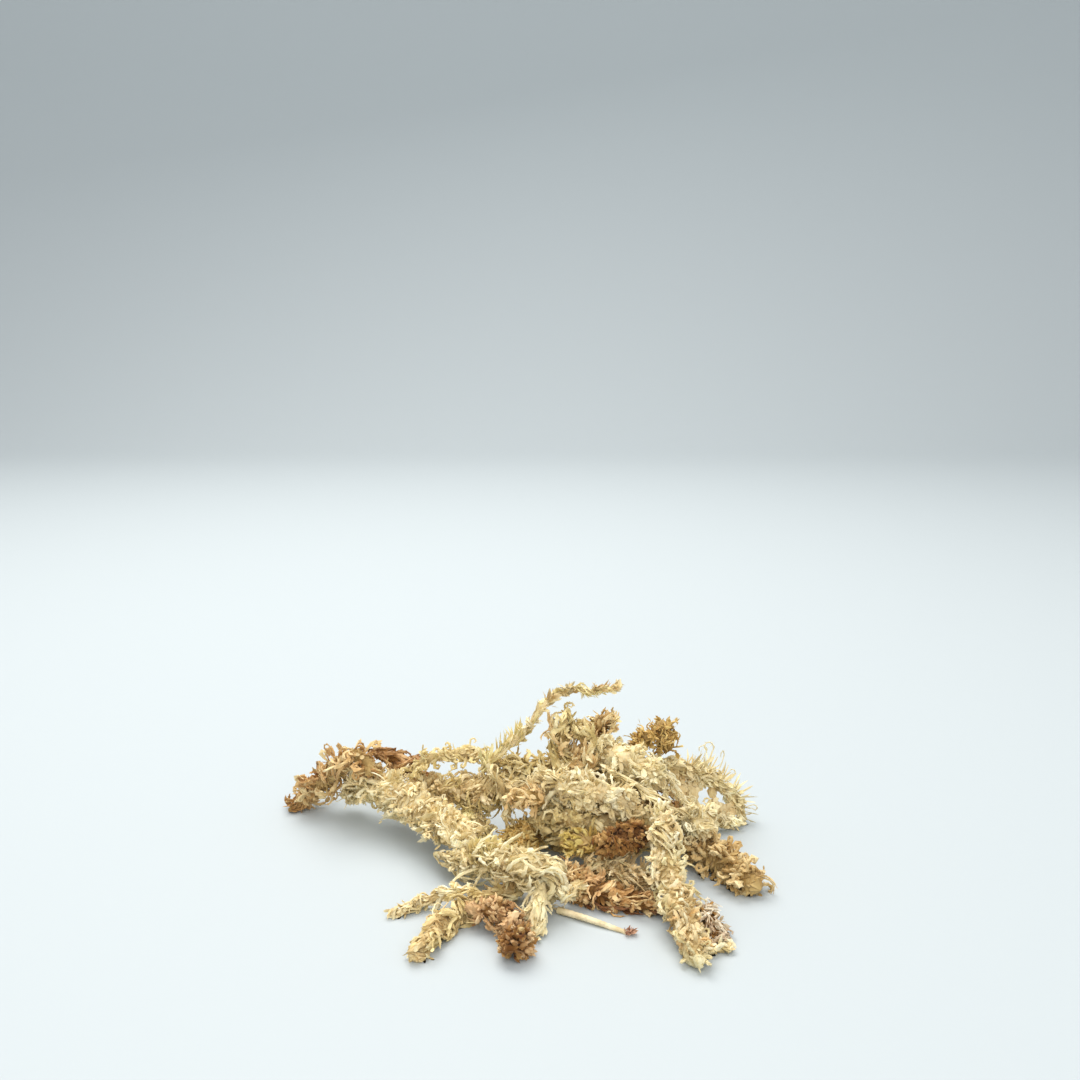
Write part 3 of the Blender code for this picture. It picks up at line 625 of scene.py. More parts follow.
# The long shoot along the front lies on the floor on its whole length. Its leaves have dried
# terracotta and tan, in short side branches with rounded heads, and its underside is
# painted dark brown, as painted shade beneath it.
TERRACOTTA = [(0.76, 0.52, 0.26), (0.82, 0.62, 0.33), (0.60, 0.37, 0.15), (0.88, 0.71, 0.41)]
# INNER_RUST: partly the stem's own colour, partly painted shade inside the shoot.
INNER_RUST = [(0.32, 0.17, 0.05)]
TAN_LIGHT = [(0.88, 0.74, 0.44), (0.82, 0.65, 0.36), (0.92, 0.80, 0.52)]
# Dark brown for the leaves under the long front shoot: painted shade, where it lies on the floor.
UNDERSIDE_SHADE = [(0.34, 0.17, 0.07), (0.26, 0.12, 0.05)]


def knobs(number, size, palette, span=(0, 1), reach=(0.8, 1.05)):
    """Short side branches that end in round heads of tightly packed leaves, like small grapes."""
    def make(lie, draw):
        k, away = spots_round(lie, draw, number, span, False)
        away = unit(away + lie.ahead[k] * draw.normal(0.35, 0.35, (number, 1)))
        middle = lie.line[k] + away * lie.girth[k, None] * draw.uniform(*reach, (number, 1))
        radius = draw.uniform(*size, number)[:, None]
        middle[:, 2] = np.maximum(middle[:, 2], radius[:, 0] * 0.8)
        t = np.linspace(-0.95, 0.95, 6)
        bent = unit(away + draw.normal(0, 0.5, (number, 3)))
        long = radius * draw.uniform(0.9, 1.9, (number, 1))
        bow = unit(draw.normal(0, 1, (number, 3))) * long * draw.uniform(0, 0.5, (number, 1))
        paths = middle[:, None] + bent[:, None] * (long * t[None])[..., None] \
            + bow[:, None] * (t ** 2)[None, :, None]
        # root_shade darkens each knob towards the stem, to half: painted shade where it sits in the
        # shoot.
        return clothe(paths, draw, (1, 1), palette, sides=7, rise=0.16, forward=0.6,
                      root_shade=0.5, swell=radius * np.sqrt(1 - 0.9 * t ** 2)[None])
    return make


def underside(palette):
    """Flat leaves along the underside, dark brown as painted shade beneath the shoot."""
    def make(lie, draw):
        paths = grow_paths(lie, round(lie.length * 2), draw, (4, 8), (0.8, 0.95), lean=12,
                           swirl=0.2, curl=0.3, wild=0.1, thick=0.4, steps=8)
        paths[..., 2] = FLOOR_ROOM + 0.3 + 0.35 * paths[..., 2]
        return clothe(paths, draw, (0.4, 0.7), palette, rise=0.2, flat=0.5)
    return make


def fringe(number, length, thick, palette, span=(0, 1), reach=(1.1, 2.0), lift=0.0, curl=0.5,
           lean=50, tangle=0.3, flat=0.4):
    """Loose strands that hang from a shoot, or stand up from it, and mat it to its neighbours."""
    def make(lie, draw):
        paths = grow_paths(lie, number, draw, length, reach, lean, swirl=0.5, curl=curl,
                           wild=0.25, thick=np.mean(thick), steps=10, droop=-lift, span=span,
                           tangle=tangle, skyward=lift > 0)
        return clothe(paths, draw, thick, palette, sides=5, flat=flat, blunt=True)
    return make


shoot("long_front_shoot", "rust_moss", (5, 5, 3.8),
      [(11, -6, 6), (16, -10, 5), (24, -17, 5), (33, -19, 4), (40, -22, 4)], 3,
      INNER_RUST, TERRACOTTA, ribbon_size=(2.6, 5.5, 0.45, 0.8), branches=0.15, lean=40, curl=1.1,
      tangle=0.35, leaves=0.1,
      extra=[knobs(190, (0.5, 0.85), TERRACOTTA, span=(0, 0.45)),
             underside(UNDERSIDE_SHADE)])
shoot("tan_floor_shoot", "tan_moss", (4, 5.4, 4),
      [(20, -2, 5), (27, -6, 6), (35, -9, 5), (41, -11, 4)], 4,
      INNER_STRAW, PALE_STRAW[3:] + TAN_LIGHT, ribbon_size=(5, 9, 0.35, 0.65), lean=22, curl=0.8,
      leaves=0.1,
      extra=[fringe(70, (4, 8), (0.35, 0.65), TAN_LIGHT + TERRACOTTA[3:], reach=(1.2, 2.4),
                    lift=0.7, lean=40, curl=1, flat=0.5)])


# The right foot is a stout tan shoot whose thick side branches curl like noodles, the front
# left foot a pale one that lies matted on the floor, up to the bud at its end.
shoot("right_foot", "tan_moss", (4.4, 7.4, 6.6),
      [(54, 11, 6), (60, 2, 6), (66, -7, 5), (70, -13, 4)], 5,
      INNER_TAN, DRY_TAN, ribbons=0.6, ribbon_size=(4, 7, 0.55, 0.9), branches=0.2,
      branch_size=(4, 8, 0.35, 0.6), lean=36, curl=1.8, swirl=1.1, rise=0.18, tangle=0.4, flat=0.2,
      leaves=0.04, cover=0.05, reach=(0.75, 1.05),
      extra=[curled_tips(60, (2, 3.6), (0.5, 0.8), DRY_TAN, span=(0.1, 1), turns=(0.5, 1),
                         sky=False, start=0.5)])
shoot("front_left_foot", "cream_moss", (3.6, 4.8, 3.6),
      [(6, -13, 6), (-1, -16, 5), (-9, -20, 4), (-16, -27, 3), (-21, -34, 3), (-25, -43, 3)], 6,
      INNER_STRAW, PALE_STRAW + DRY_TAN[:1], ribbon_size=(5, 9, 0.45, 0.85), branches=0.2, lean=16,
      curl=0.5, tangle=0.1, leaves=0.08, cover=0.1, rise=0.25, flat=0.6)


# Two stubby brown shoots at the front end in heads, where short side branches crowd into round
# knobs of tightly packed leaves. The foot lies on the floor, and its head on the foot's end.
BROWN_KNOBS = [(0.38, 0.20, 0.06), (0.46, 0.27, 0.09), (0.28, 0.13, 0.03), (0.54, 0.34, 0.13)]
PINK_KNOBS = [(0.68, 0.46, 0.24), (0.78, 0.58, 0.33), (0.50, 0.30, 0.14), (0.74, 0.53, 0.27)]
# INNER_BROWN: partly the stem's own colour, partly painted shade inside the shoot.
INNER_BROWN = [(0.22, 0.10, 0.03)]

shoot("brown_foot", "rust_moss", (4, 4.4, 3.8),
      [(-10, -28, 5), (-5, -29, 5), (-1, -32, 4), (1, -36, 4)], 7,
      INNER_RUST, PINK_KNOBS, ribbons=0.25, branches=0.2, lean=50, curl=0.8, leaves=0.15, rise=0.25,
      threads=0, core=0.56, extra=[knobs(170, (0.4, 0.75), PINK_KNOBS, reach=(0.65, 0.95))])
shoot("brown_foot_head", "brown_moss", (3.8, 4.6, 3.8), [(1, -39, 4), (1, -42, 4), (1, -45, 4)], 8,
      INNER_BROWN, BROWN_KNOBS, ribbons=0.15, branches=0.2, lean=60, curl=0.8, leaves=0.1,
      rise=0.25, threads=0, core=0.56,
      extra=[knobs(90, (0.45, 0.8), BROWN_KNOBS, reach=(0.65, 0.95)),
             knobs(40, (0.5, 0.8), PINK_KNOBS[:2] + DRY_TAN[:1], span=(0.3, 1), reach=(0.75, 1))])


# A brown shoot broken off at the front right with a pale bud beside it, and a bare straw-coloured
# stem that lies on the floor, worn smooth, with one small reddish tuft left at its tip.
PALE_CREAM = [(0.96, 0.86, 0.56), (0.92, 0.80, 0.49), (0.86, 0.73, 0.42), (0.97, 0.90, 0.65)]
FRAYED = [(0.88, 0.82, 0.68), (0.80, 0.71, 0.55), (0.68, 0.54, 0.38)]
BARE_STRAW = [(0.93, 0.82, 0.56)]
REDDISH = [(0.62, 0.34, 0.22), (0.70, 0.44, 0.30)]


def bare_stem(radius, palette, swell=(1.0, 1.0)):
    """The stem itself, worn smooth, with only faint scars where its leaves were."""
    def make(lie, draw):
        path, _ = middle_line(lie, 0.7)
        return clothe(path[None], draw, (1, 1), palette, sides=10, rise=0.06, forward=0.5,
                      flat=0.1, root_shade=0.9, leaf_light=1.0,
                      swell=radius * np.linspace(*swell, len(path))[None])
    return make


def tuft(number, length, palette, at=1.0, spread=0.9, wide=0.35, lift=0.0, radius=0.3):
    """Narrow pointed leaves that spring from one place on a shoot."""
    def make(lie, draw):
        last = len(lie.line) - 1
        k = np.clip((at + draw.normal(0, 0.02, number)) * last, 0, last).astype(int)
        away = unit(draw.normal(0, 1, (number, 3)))
        away[:, 2] = np.abs(away[:, 2])
        pointing = lie.ahead[k] + away * spread + np.array([0, 0, lift])
        return leaf_blades(lie.line[k] + away * radius, pointing, away, draw, length, palette,
                           wide=wide, cup=0.15)
    return make


shoot("cut_end_shoot", "brown_moss", (2.2, 3.6, 3.4), [(52, -23, 4), (54, -30, 4), (55, -36, 3)], 9,
      INNER_RUST, BROWN_KNOBS[3:] + FRAYED, ribbons=0.5, ribbon_size=(3, 6, 0.35, 0.6), lean=14,
      leaves=0.15, threads=0.05, thread_colours=FRAYED,
      extra=[tuft(70, (1.5, 3.2), FRAYED, spread=0.7),
             fringe(60, (4, 8), (0.15, 0.3), FRAYED, reach=(0.9, 1.15), lean=8, curl=0.3)])
shoot("cut_end_bud", "cream_moss", (2, 2.2, 1.8), [(50, -40, 2), (53, -41, 2), (57, -40, 2)], 41,
      INNER_STRAW, PALE_CREAM, ribbon_size=(2.5, 4, 0.45, 0.7), branches=0.1, lean=14, leaves=0.1,
      threads=0, rise=0.2)
shoot("straw_stem", "straw_moss", (2.2, 1.9, 1.3), [(12, -22, 2), (21, -27, 2), (31, -32, 1)], 10,
      BARE_STRAW, BARE_STRAW, ribbons=0, branches=0, threads=0, core=0.3, cover=0,
      extra=[bare_stem(0.9, BARE_STRAW, (1.2, 0.75)),
             tuft(26, (1.5, 3.2), REDDISH, spread=1, lift=0.3)])
shoot("small_bud", "cream_moss", (2.4, 2.6, 2), [(10, -18, 3), (14, -19, 3), (19, -18, 2)], 11,
      INNER_STRAW, PALE_CREAM, ribbon_size=(3, 5, 0.6, 1.2), lean=26, reach=(0.8, 1.1))


# The ochre head points left, and the pale junction shoot carries the two front feet: long
# fibres run along it and fan out where the feet leave it.
# INNER_CREAM: partly the stem's own colour, partly painted shade inside the shoot.
INNER_CREAM = [(0.90, 0.79, 0.50)]
BRIGHT_CREAM = [(0.98, 0.91, 0.64), (0.96, 0.87, 0.57), (0.92, 0.81, 0.50)]
OCHRE_LIGHT = [(0.90, 0.70, 0.29), (0.95, 0.79, 0.38), (0.82, 0.58, 0.21)]
YELLOW_FLUFF = [(0.90, 0.82, 0.46), (0.84, 0.74, 0.38)]

shoot("ochre_head", "golden_moss", (3.8, 5.6, 5), [(7, 9, 7), (3, 11, 6), (-3, 11, 5)], 12,
      INNER_TAN, OCHRE_LIGHT, ribbon_size=(2.5, 4.5, 0.35, 0.6), branches=0.7,
      branch_size=(3, 5.5, 0.2, 0.35), lean=55, leaves=0.25, reach=(0.85, 1.35), cover=0.25,
      extra=[fringe(120, (3, 6), (0.2, 0.4), OCHRE_LIGHT, reach=(1, 1.7), lift=0.3, lean=60,
                    curl=1)])
shoot("junction_fall", "cream_moss", (3, 3.4, 2.8),
      [(8, -23, 10), (7, -26, 8), (6, -29, 5), (5, -33, 3)], 42,
      INNER_CREAM, BRIGHT_CREAM, ribbon_size=(5, 9, 0.4, 0.75), lean=12, leaves=0.08, cover=0.08,
      curl=0.3, swirl=0.2, rise=0.25)
shoot("junction_shoot", "cream_moss", (3.6, 5.4, 3.8),
      [(-25, 1, 6), (-15, -5, 7), (-6, -12, 11), (3, -19, 13), (9, -20, 11), (13, -21, 7)], 13,
      INNER_CREAM, BRIGHT_CREAM + PALE_CREAM, ribbons=0.8, curls=0.02,
      ribbon_size=(7, 13, 0.4, 0.85), branch_size=(7, 13, 0.2, 0.4), lean=10, curl=0.25, swirl=0.2,
      tangle=0.05, leaves=0.06, cover=0.1, rise=0.25, flat=0.6, reach=(0.85, 1.1),
      extra=[tuft(170, (1.8, 3.8), YELLOW_FLUFF, at=0.42, spread=1.6, wide=0.45, lift=0.9,
                  radius=4.4),
             fringe(70, (7, 13), (0.3, 0.6), BRIGHT_CREAM, span=(0.1, 0.85), reach=(1, 1.5),
                    lift=-0.5, lean=14, tangle=0.05)])
shoot("thin_left_shoot", "cream_moss", (1.9, 1.8, 1.4),
      [(-14, -19, 6), (-21, -19, 4), (-27, -20, 2), (-33, -23, 1)], 14,
      INNER_STRAW, PALE_CREAM, ribbon_size=(4, 7, 0.3, 0.5), lean=18, reach=(0.8, 1.3))


# The left arm of the heap: a thick pale shoot, matted and frayed, that slopes down to the
# middle, and over its upper end a tan one whose tips have dried into tight curls.
ROSY_TAN = [(0.80, 0.61, 0.32), (0.70, 0.48, 0.22), (0.85, 0.70, 0.40), (0.58, 0.36, 0.15)]
PINK_BROWN = [(0.54, 0.32, 0.14), (0.62, 0.41, 0.20), (0.42, 0.23, 0.09)]

shoot("left_pale_shoot", "cream_moss", (4.4, 6.2, 5),
      [(-57, 40, 7), (-52, 36, 11), (-45, 30, 13), (-37, 24, 13), (-27, 14, 12), (-19, 3, 12),
       (-13, -2, 13)], 15,
      INNER_CREAM, PALE_CREAM, ribbons=0.8, curls=0.06, ribbon_size=(5, 9, 0.65, 1.3), branches=0.2,
      lean=22, curl=0.8, flat=0.65, rise=0.22, droop=0.02, leaves=0.07, cover=0.08,
      reach=(0.85, 1.15), core=0.68, tangle=0.3, wild=0.3,
      extra=[curled_tips(10, (1.5, 3), (0.25, 0.4), PALE_CREAM),
             fringe(60, (5, 10), (0.4, 0.8), PALE_CREAM, span=(0, 0.35), reach=(1.1, 1.9), lift=0.6,
                    flat=0.6)])
shoot("middle_tuft", "straw_moss", (3, 3.8, 2.8), [(-17, 20, 13), (-13, 15, 11), (-11, 11, 7)], 43,
      INNER_STRAW, YELLOW_FLUFF + PALE_STRAW, ribbons=0.4, branch_size=(3, 6, 0.2, 0.4),
      branches=0.8, lean=55, curl=0.3, leaves=0.35)
shoot("left_curl_shoot", "rosy_moss", (2.6, 5, 4.2),
      [(-78, 40, 1), (-74, 43, 3), (-68, 41, 9), (-61, 36, 17), (-55, 33, 24), (-50, 31, 23),
       (-48, 29, 20)], 16,
      INNER_TAN, ROSY_TAN, ribbon_size=(4, 8, 0.4, 0.8), lean=45, curl=2, swirl=1.2, rise=0.25,
      flat=0.6, tangle=0.4, leaves=0.06, cover=0.04,
      extra=[curled_tips(20, (1.8, 4), (0.25, 0.45), ROSY_TAN, span=(0.1, 1)),
             curled_tips(16, (2.4, 4.6), (0.4, 0.7), ROSY_TAN, span=(0.1, 0.9), turns=(1, 1.6))])
shoot("rust_back_shoot", "rust_moss", (3.2, 3.8, 3),
      [(-50, 38, 25), (-42, 39, 22), (-35, 38, 17), (-29, 37, 11), (-26, 36, 6)], 17,
      INNER_RUST, PINK_BROWN, ribbon_size=(5, 9, 0.6, 1), branches=0.2, lean=18, rise=0.2,
      leaves=0.04, cover=0, curl=0.7)


# Three shoots cross inside the heap, where they hold up the ones above, and a pale low one lies
# over them in the middle. They are dried like the rest, but little of them is seen.
shoot("cross_left_shoot", "straw_moss", (3.4, 4.8, 3.4),
      [(11, 33, 9), (9, 24, 11), (12, 14, 10), (17, 5, 9)], 18,
      INNER_STRAW, PALE_STRAW, lean=40, tangle=0.4)
shoot("cross_right_shoot", "tan_moss", (3.4, 4.8, 3.4),
      [(38, 34, 9), (40, 25, 11), (38, 14, 11), (40, 4, 10)], 19,
      INNER_TAN, DRY_TAN, lean=40, tangle=0.4)
shoot("inner_prop_shoot", "tan_moss", (3.4, 4.6, 3.4),
      [(3, 27, 17), (16, 28, 18), (30, 26, 18), (46, 25, 17)], 20,
      INNER_TAN, DRY_TAN, lean=40, tangle=0.4)
shoot("centre_low_shoot", "straw_moss", (3.8, 5, 4),
      [(4, 10, 13), (12, 8, 15), (20, 4, 16), (29, 3, 16), (38, 4, 16)], 21,
      INNER_STRAW, PALE_STRAW, ribbons=0.6, curls=0.05, lean=44, tangle=0.45, wild=0.35, curl=1,
      leaves=0.15)


# In the middle of the front a golden tuft and a dark brown head stand out, the head's side
# branches crowded into knobs.
GREEN_GOLD = [(0.78, 0.63, 0.22), (0.86, 0.73, 0.31), (0.62, 0.45, 0.14)]

shoot("golden_tuft", "golden_moss", (3, 3.8, 2.8), [(26, -4, 11), (21, -3, 12), (15, -1, 11)], 22,
      INNER_TAN, GREEN_GOLD, ribbon_size=(2.5, 4.5, 0.4, 0.62), branches=0.3,
      branch_size=(3, 5, 0.28, 0.5), lean=50, rise=0.25, leaves=0.1)
shoot("brown_head", "brown_moss", (3.6, 5, 4.2),
      [(39, -3, 14), (34, -6, 16), (29, -8, 15), (25, -7, 13)], 23,
      INNER_BROWN, BROWN_KNOBS, ribbons=0.3, ribbon_size=(2.5, 4.5, 0.5, 0.75), branches=0.1,
      lean=60, rise=0.25, leaves=0.05, threads=0, extra=[knobs(280, (0.5, 0.85), BROWN_KNOBS)])


# The tan shoot across the middle and the pale one in the centre, with the rosy head before it.
# Loose dried strands have felted together over the hollows beside the tan shoot.
ROSY_ORANGE = [(0.84, 0.64, 0.34), (0.88, 0.71, 0.40), (0.78, 0.55, 0.26)]


def mat(middle, radii, number, length, thick, palette, leaves):
    """Loose strands felted together over a hollow between shoots, each rolled round the lump."""
    def make(lie, draw):
        out = unit(draw.normal(0, 1, (number, 3)))
        place = np.array(middle) + out * np.array(radii) * draw.uniform(0.5, 1, (number, 1))
        heading = unit(np.cross(out, draw.normal(0, 1, (number, 3)))
                       + out * draw.normal(0, 0.3, (number, 1)))
        bend = draw.normal(0, 0.16, (number, 1))
        step = draw.uniform(*length, number)[:, None] / 8
        path = [place]
        for _ in range(8):
            inward = unit(np.array(middle) - place)
            heading = unit(heading + np.cross(heading, out) * bend + inward * 0.13
                           + draw.normal(0, 0.14, (number, 3)))
            place = place + heading * step
            path.append(place)
        paths = np.stack(path, axis=1)
        return joined([clothe(paths, draw, thick, palette, sides=5, flat=0.5),
                       stray_leaves(paths, draw, leaves, (1.2, 2.6), palette, out=0.6,
                                    thick=np.mean(thick))])
    return make


shoot("tan_middle_shoot", "tan_moss", (4.4, 6.4, 5),
      [(-31, 29, 14), (-20, 23, 17), (-7, 20, 19), (5, 20, 21), (13, 21, 23)], 24,
      INNER_STRAW, TAN_LIGHT + PALE_STRAW[:2], ribbons=0.6, curls=0.04,
      ribbon_size=(5, 9, 0.6, 1.2), lean=34, tangle=0.4, wild=0.3, curl=0.9,
      extra=[mat((4, 24, 24), (15, 6, 4.5), 150, (4, 8), (0.3, 0.7), PALE_STRAW, 160),
             mat((-12, 22, 15), (9, 5, 4), 60, (4, 8), (0.25, 0.5), PALE_STRAW, 60)])
shoot("upper_cross_shoot", "straw_moss", (3.2, 4.2, 3.2),
      [(30, 29, 24), (32, 21, 25), (31, 13, 24)], 25,
      INNER_STRAW, PALE_STRAW, lean=40, tangle=0.4)
shoot("centre_shoot", "cream_moss", (4.4, 5.8, 4.4),
      [(3, 10, 21), (10, 10, 24), (18, 6, 25), (27, 2, 25), (35, 1, 22)], 26,
      INNER_CREAM, PALE_CREAM, ribbons=0.6, curls=0.06, ribbon_size=(4, 7.5, 0.55, 1.1), lean=42,
      tangle=0.45, wild=0.35, curl=1.2, leaves=0.15, threads=0.015, rise=0.28,
      extra=[curled_tips(14, (1.5, 3), (0.2, 0.35), PALE_CREAM)])
shoot("rosy_head", "rosy_moss", (3.2, 4.2, 3.6), [(8, 3, 22), (4, 4, 23), (-1, 5, 22)], 27,
      INNER_TAN, ROSY_ORANGE, ribbon_size=(2.5, 4.5, 0.5, 0.8), branches=0.3,
      branch_size=(2.6, 4.5, 0.28, 0.5), lean=50, rise=0.25, curl=1.2)
shoot("upright_stem", "cream_moss", (1.6, 1.9, 1.5),
      [(-8, 15, 27), (-5, 12, 23), (-3, 13, 17), (-3, 12, 12)], 28,
      INNER_STRAW, PALE_CREAM, ribbon_size=(4, 7, 0.3, 0.5), lean=12, reach=(0.8, 1.3))


# The right shoulder of the heap: the brightest shoot on top, a rust-coloured stem below it, and
# two loose arcs that swing out to the right over a gap, with tufts of spiky leaves.
GREEN_CREAM = [(0.86, 0.78, 0.50), (0.80, 0.71, 0.42), (0.90, 0.83, 0.58), (0.84, 0.70, 0.42)]
PALE_SHEET = [(0.90, 0.76, 0.46), (0.84, 0.68, 0.38), (0.78, 0.60, 0.31)]
SHEET_HOLES = [((60.9, 30.8, 11.6), 1.9), ((68.0, 35.0, 9.6), 1.35)]


def leaf_sheet(other, spans, number, length, palette, holes):
    """A thin sheet of broad leaves stuck together between two shoots, with holes worn in it."""
    def make(lie, draw):
        s, w = draw.uniform(0, 1, number), draw.uniform(-0.05, 1, (number, 1))
        near, far = lie.line, lies[other].line
        a = near[((spans[0] + (spans[1] - spans[0]) * s) * (len(near) - 1)).astype(int)]
        b = far[((spans[2] + (spans[3] - spans[2]) * s) * (len(far) - 1)).astype(int)]
        middle = a * (1 - w) + b * w
        across = unit(b - a)
        along = unit(np.cross(across, np.cross(lie.ahead[len(near) // 2], across)))
        facing = np.cross(along, across)
        turn = draw.uniform(0, math.tau, (number, 1))
        pointing = (along * np.cos(turn) + across * np.sin(turn)
                    + facing * draw.normal(0, 0.2, (number, 1)))
        reach = np.mean(length) / 2
        keep = np.ones(number, bool)
        for hole, radius in holes:
            keep &= np.linalg.norm(middle - np.array(hole), axis=1) > radius + reach
        foot = middle - unit(pointing) * reach + facing * draw.normal(0, 0.25, (number, 1))
        return leaf_blades(foot[keep], pointing[keep], facing[keep], draw, length, palette,
                           wide=0.95, cup=0.2)
    return make


shoot("rust_stem", "rust_moss", (2.2, 2.8, 2), [(44, 18, 18), (49, 17, 14), (54, 15, 10)], 29,
      INNER_RUST, TERRACOTTA, ribbon_size=(3, 6, 0.4, 0.6))
shoot("upper_right_shoot", "cream_moss", (4.6, 6.2, 4.8),
      [(19, 25, 27), (27, 20, 29), (34, 15, 30), (40, 14, 27), (44, 15, 22)], 30,
      INNER_CREAM, BRIGHT_CREAM, ribbons=0.6, curls=0.06, ribbon_size=(3.5, 7, 0.6, 1.15), lean=44,
      tangle=0.35, wild=0.3, curl=1.1, core=0.7, rise=0.25)
shoot("arc_return_shoot", "cream_moss", (2.4, 3, 2),
      [(51, 22, 14), (57, 24, 10), (64, 27, 6), (71, 28, 4)], 31,
      INNER_STRAW, BRIGHT_CREAM, ribbon_size=(3, 5, 0.3, 0.55), branch_size=(3, 5, 0.2, 0.35),
      lean=34, leaves=0.3)
shoot("right_arc_shoot", "cream_moss", (3.2, 4, 2.6),
      [(42, 20, 28), (52, 26, 23), (61, 31, 18), (68, 34, 12), (73, 35, 6), (74, 32, 2)], 32,
      INNER_STRAW, BRIGHT_CREAM, ribbons=0.45, ribbon_size=(3, 6, 0.3, 0.55),
      branch_size=(3, 6, 0.2, 0.34), leaves=0.1, threads=0.01, reach=(0.5, 0.95), core=0.38,
      cover=0.08,
      extra=[leaf_sheet("arc_return_shoot", (0.2, 0.9, 0, 0.95), 420, (1.9, 3.4), PALE_SHEET,
                        SHEET_HOLES),
             *[tuft(16, (3.5, 8), BRIGHT_CREAM, at=at, spread=0.8, wide=0.13, lift=1.1, radius=0.8)
               for at in (0.38, 0.52, 0.66, 0.82)],
             *[tuft(16, (2.5, 6), BRIGHT_CREAM, at=at, spread=1.2, wide=0.18, lift=0.2, radius=1)
               for at in (0.9, 0.98)],
             curled_tips(10, (3, 5.5), (0.16, 0.26), BRIGHT_CREAM, span=(0.35, 1),
                         turns=(0.3, 0.7))])
shoot("front_right_shoot", "cream_moss", (2, 6, 3),
      [(43, -1, 22), (43, -9, 20), (43, -16, 15), (44, -23, 10), (46, -32, 6), (47, -42, 4),
       (48, -48, 3)], 33,
      INNER_STRAW, GREEN_CREAM, ribbons=0.7, curls=0.08, ribbon_size=(3.5, 7, 0.5, 0.9),
      branches=0.15, lean=26, curl=1.3, rise=0.2, leaves=0.06, cover=0.06, reach=(0.85, 1.1),
      core=0.72, tangle=0.25, wild=0.3,
      extra=[fringe(26, (9, 15), (0.3, 0.6), PALE_CREAM, span=(0, 0.25), lean=4, reach=(0.95, 1.1),
                    curl=0.2, tangle=0, flat=0.7),
             fringe(22, (3, 5), (0.4, 0.6), ROSY_ORANGE, span=(0.72, 0.9), lean=30,
                    reach=(0.9, 1.1), curl=1.2)])
shoot("shoulder_tuft", "cream_moss", (3.2, 4.6, 3.8), [(50, 10, 16), (55, 7, 14), (58, 4, 11)], 44,
      INNER_CREAM, BRIGHT_CREAM, ribbon_size=(4, 7, 0.5, 0.95), lean=40, curl=1.4, threads=0.03,
      leaves=0.1, extra=[curled_tips(16, (2, 4), (0.2, 0.35), BRIGHT_CREAM, sky=False)])


# Two bare stems cross the right shoulder, pale and smooth. They are dried moss stems that have
# lost nearly all their leaves, and they rest on the shoots below them.
BARE_DRESS = dict(ribbons=0.3, lean=8, curl=0.2, leaves=0.1, core=0.3, cover=0,
                  extra=[bare_stem(0.75, PALE_CREAM)])

shoot("bare_stem_long", "straw_moss", (1.5, 1.7, 2),
      [(29, 7, 30), (36, 5, 27), (43, 4, 22), (48, 5, 18), (53, 6, 15)], 34,
      INNER_STRAW, PALE_CREAM, ribbon_size=(5, 10, 0.25, 0.4), branches=0.2,
      branch_size=(5, 9, 0.15, 0.25), **BARE_DRESS)
shoot("bare_stem_short", "straw_moss", (1.5, 1.5, 1.6),
      [(42, 16, 25), (47, 14, 21), (52, 13, 17), (57, 13, 13)], 35,
      INNER_STRAW, PALE_CREAM, ribbon_size=(5, 8, 0.25, 0.4), branches=0, **BARE_DRESS)


# The top of the heap: the golden head, the ragged shoots beside it, the thin bridge on the
# left, and the arm that rises over them and ends in a tan tip.
OCHRE = [(0.70, 0.50, 0.18), (0.76, 0.58, 0.24), (0.56, 0.36, 0.11), (0.66, 0.49, 0.18)]
RAGGED = PALE_STRAW[:2] + PALE_CREAM[:1] + ROSY_ORANGE[:2]
GOLDEN_DRESS = dict(ribbons=0.35, ribbon_size=(2, 3.6, 0.3, 0.5), branches=0.5,
                    branch_size=(2.5, 5, 0.18, 0.32), lean=60, curl=1.2, leaves=0.5,
                    leaf_length=(1.2, 2.4), leaf_out=1.0, core=0.45, reach=(0.6, 1.25))

shoot("golden_head", "golden_moss", (2.6, 4.6, 5),
      [(47, 23, 24), (47, 24, 29), (46, 24, 34), (46, 25, 38)], 36,
      INNER_TAN, OCHRE, **GOLDEN_DRESS,
      extra=[knobs(26, (0.4, 0.7), OCHRE, span=(0.3, 1), reach=(0.5, 1)),
             fringe(40, (2.5, 5), (0.15, 0.3), OCHRE, reach=(1, 1.7), curl=1.2)])
shoot("golden_lobe", "golden_moss", (2.8, 3.4, 2.8), [(43, 21, 34), (40, 21, 33), (37, 22, 31)], 45,
      INNER_TAN, OCHRE, **GOLDEN_DRESS, extra=[knobs(22, (0.4, 0.7), OCHRE)])
shoot("ragged_top_shoot", "straw_moss", (3.4, 3.6, 2.8),
      [(15, 18, 27), (14, 20, 32), (14, 20, 38), (15, 21, 43)], 37,
      INNER_STRAW, RAGGED, ribbons=0.9, ribbon_size=(6, 11, 0.6, 1.15), flat=0.85, branches=0.2,
      lean=12, curl=0.3, leaves=0.2, reach=(0.7, 1.25), core=0.5, rise=0.25,
      extra=[fringe(46, (4, 9), (0.3, 0.7), RAGGED, span=(0, 0.8), lift=0.6, flat=0.8, lean=30)])
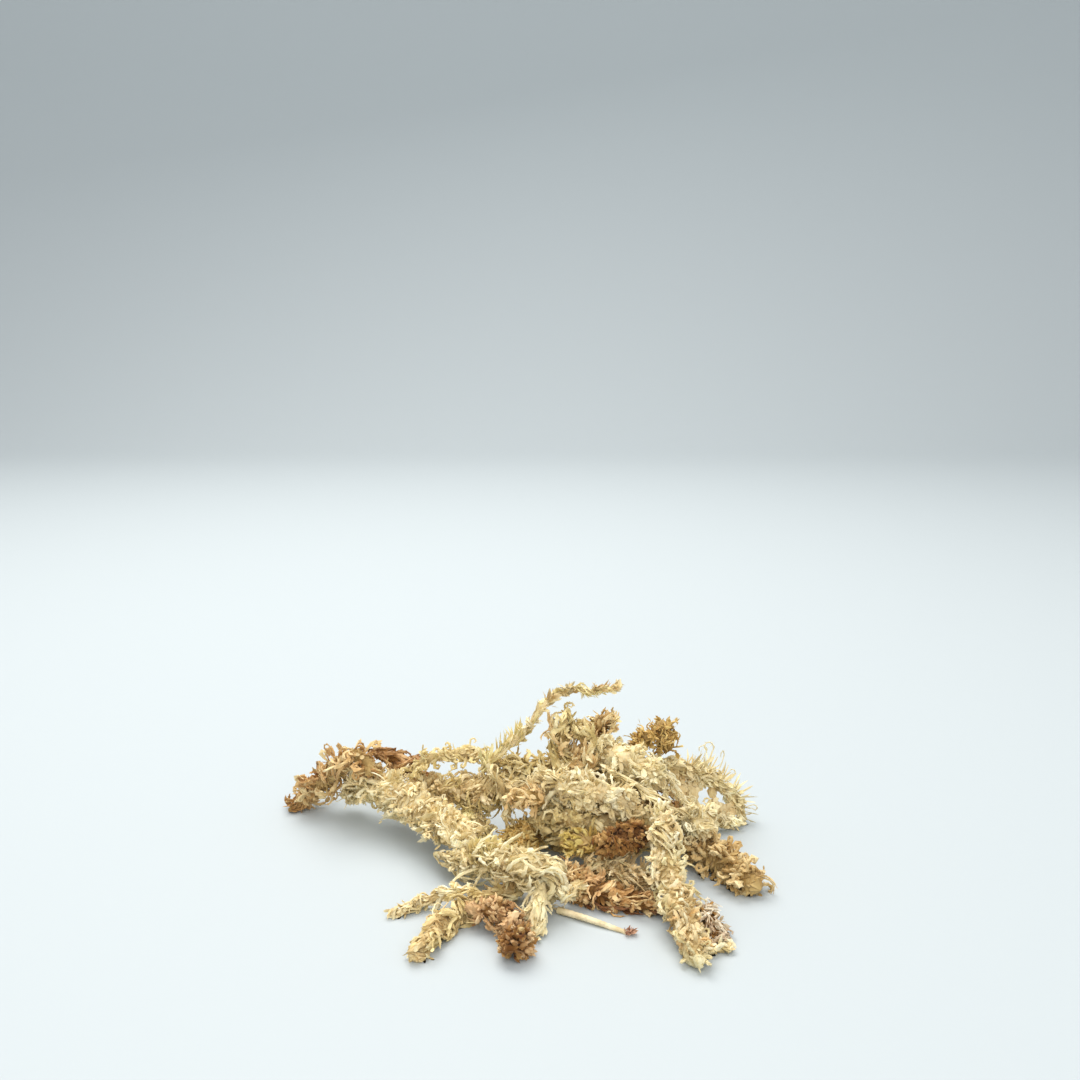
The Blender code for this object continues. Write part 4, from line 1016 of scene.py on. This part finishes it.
shoot("ragged_mid_shoot", "tan_moss", (3, 3.4, 2.6),
      [(20, 15, 25), (21, 17, 29), (21, 18, 34), (20, 19, 39)], 46,
      INNER_TAN, RAGGED + DRY_TAN[:2], ribbons=0.8, ribbon_size=(4, 8, 0.5, 1), flat=0.85,
      branches=0.3, lean=20, leaves=0.25, core=0.45, reach=(0.7, 1.25), rise=0.25,
      extra=[fringe(50, (4, 9), (0.3, 0.7), RAGGED, span=(0, 0.9), reach=(1.1, 2.2), lift=0.6,
                    flat=0.8, lean=35)])
shoot("ragged_side_shoot", "brown_moss", (2.8, 3, 1.8),
      [(24, 24, 29), (25, 25, 33), (27, 25, 37), (30, 24, 40)], 38,
      INNER_RUST, TERRACOTTA + RAGGED + DRY_TAN, ribbon_size=(3, 6, 0.35, 0.7), lean=38, leaves=0.3,
      flat=0.7, core=0.45, reach=(0.65, 1.2),
      extra=[fringe(36, (3, 7), (0.2, 0.45), RAGGED, span=(0, 0.8), reach=(1.1, 2.2), lift=0.5,
                    flat=0.6, lean=45, curl=1)])
shoot("bridge_shoot", "cream_moss", (1.8, 2, 1.9),
      [(-34, 27, 22), (-31, 28, 26), (-23, 27, 28), (-16, 27, 29), (-8, 24, 28), (-2, 21, 28)], 39,
      INNER_STRAW, PALE_STRAW, ribbon_size=(3, 6, 0.35, 0.6), branch_size=(3, 6, 0.2, 0.35),
      lean=40, curl=1, tangle=0.4, curls=0.08, reach=(0.7, 1.1))
shoot("rising_arm", "straw_moss", (3.4, 3, 1.6),
      [(-12, 16, 27), (-7, 20, 30), (0, 20, 36), (6, 20, 43), (10, 22, 48), (16, 25, 50),
       (23, 22, 51), (30, 21, 52)], 40,
      INNER_CREAM, YELLOW_FLUFF + PALE_CREAM, ribbons=0.35, ribbon_size=(5, 10, 0.3, 0.5),
      branches=0.08, branch_size=(3, 6, 0.18, 0.32), lean=8, leaves=0.08, reach=(0.38, 0.7),
      core=0.3, cover=0.06, rise=0.25, curl=0.4, wild=0.12,
      extra=[*[tuft(26, (2.5, 6), YELLOW_FLUFF, at=at, spread=1.1, wide=0.24, lift=0.3, radius=0.8)
               for at in (0.08, 0.18, 0.3)],
             *[tuft(26, (1.5, 4), DRY_TAN + PALE_CREAM, at=at, spread=1.3, wide=0.4, lift=-0.2,
                    radius=0.6) for at in (0.6, 0.74, 0.9)],
             tuft(24, (1.5, 3), ROSY_ORANGE)])
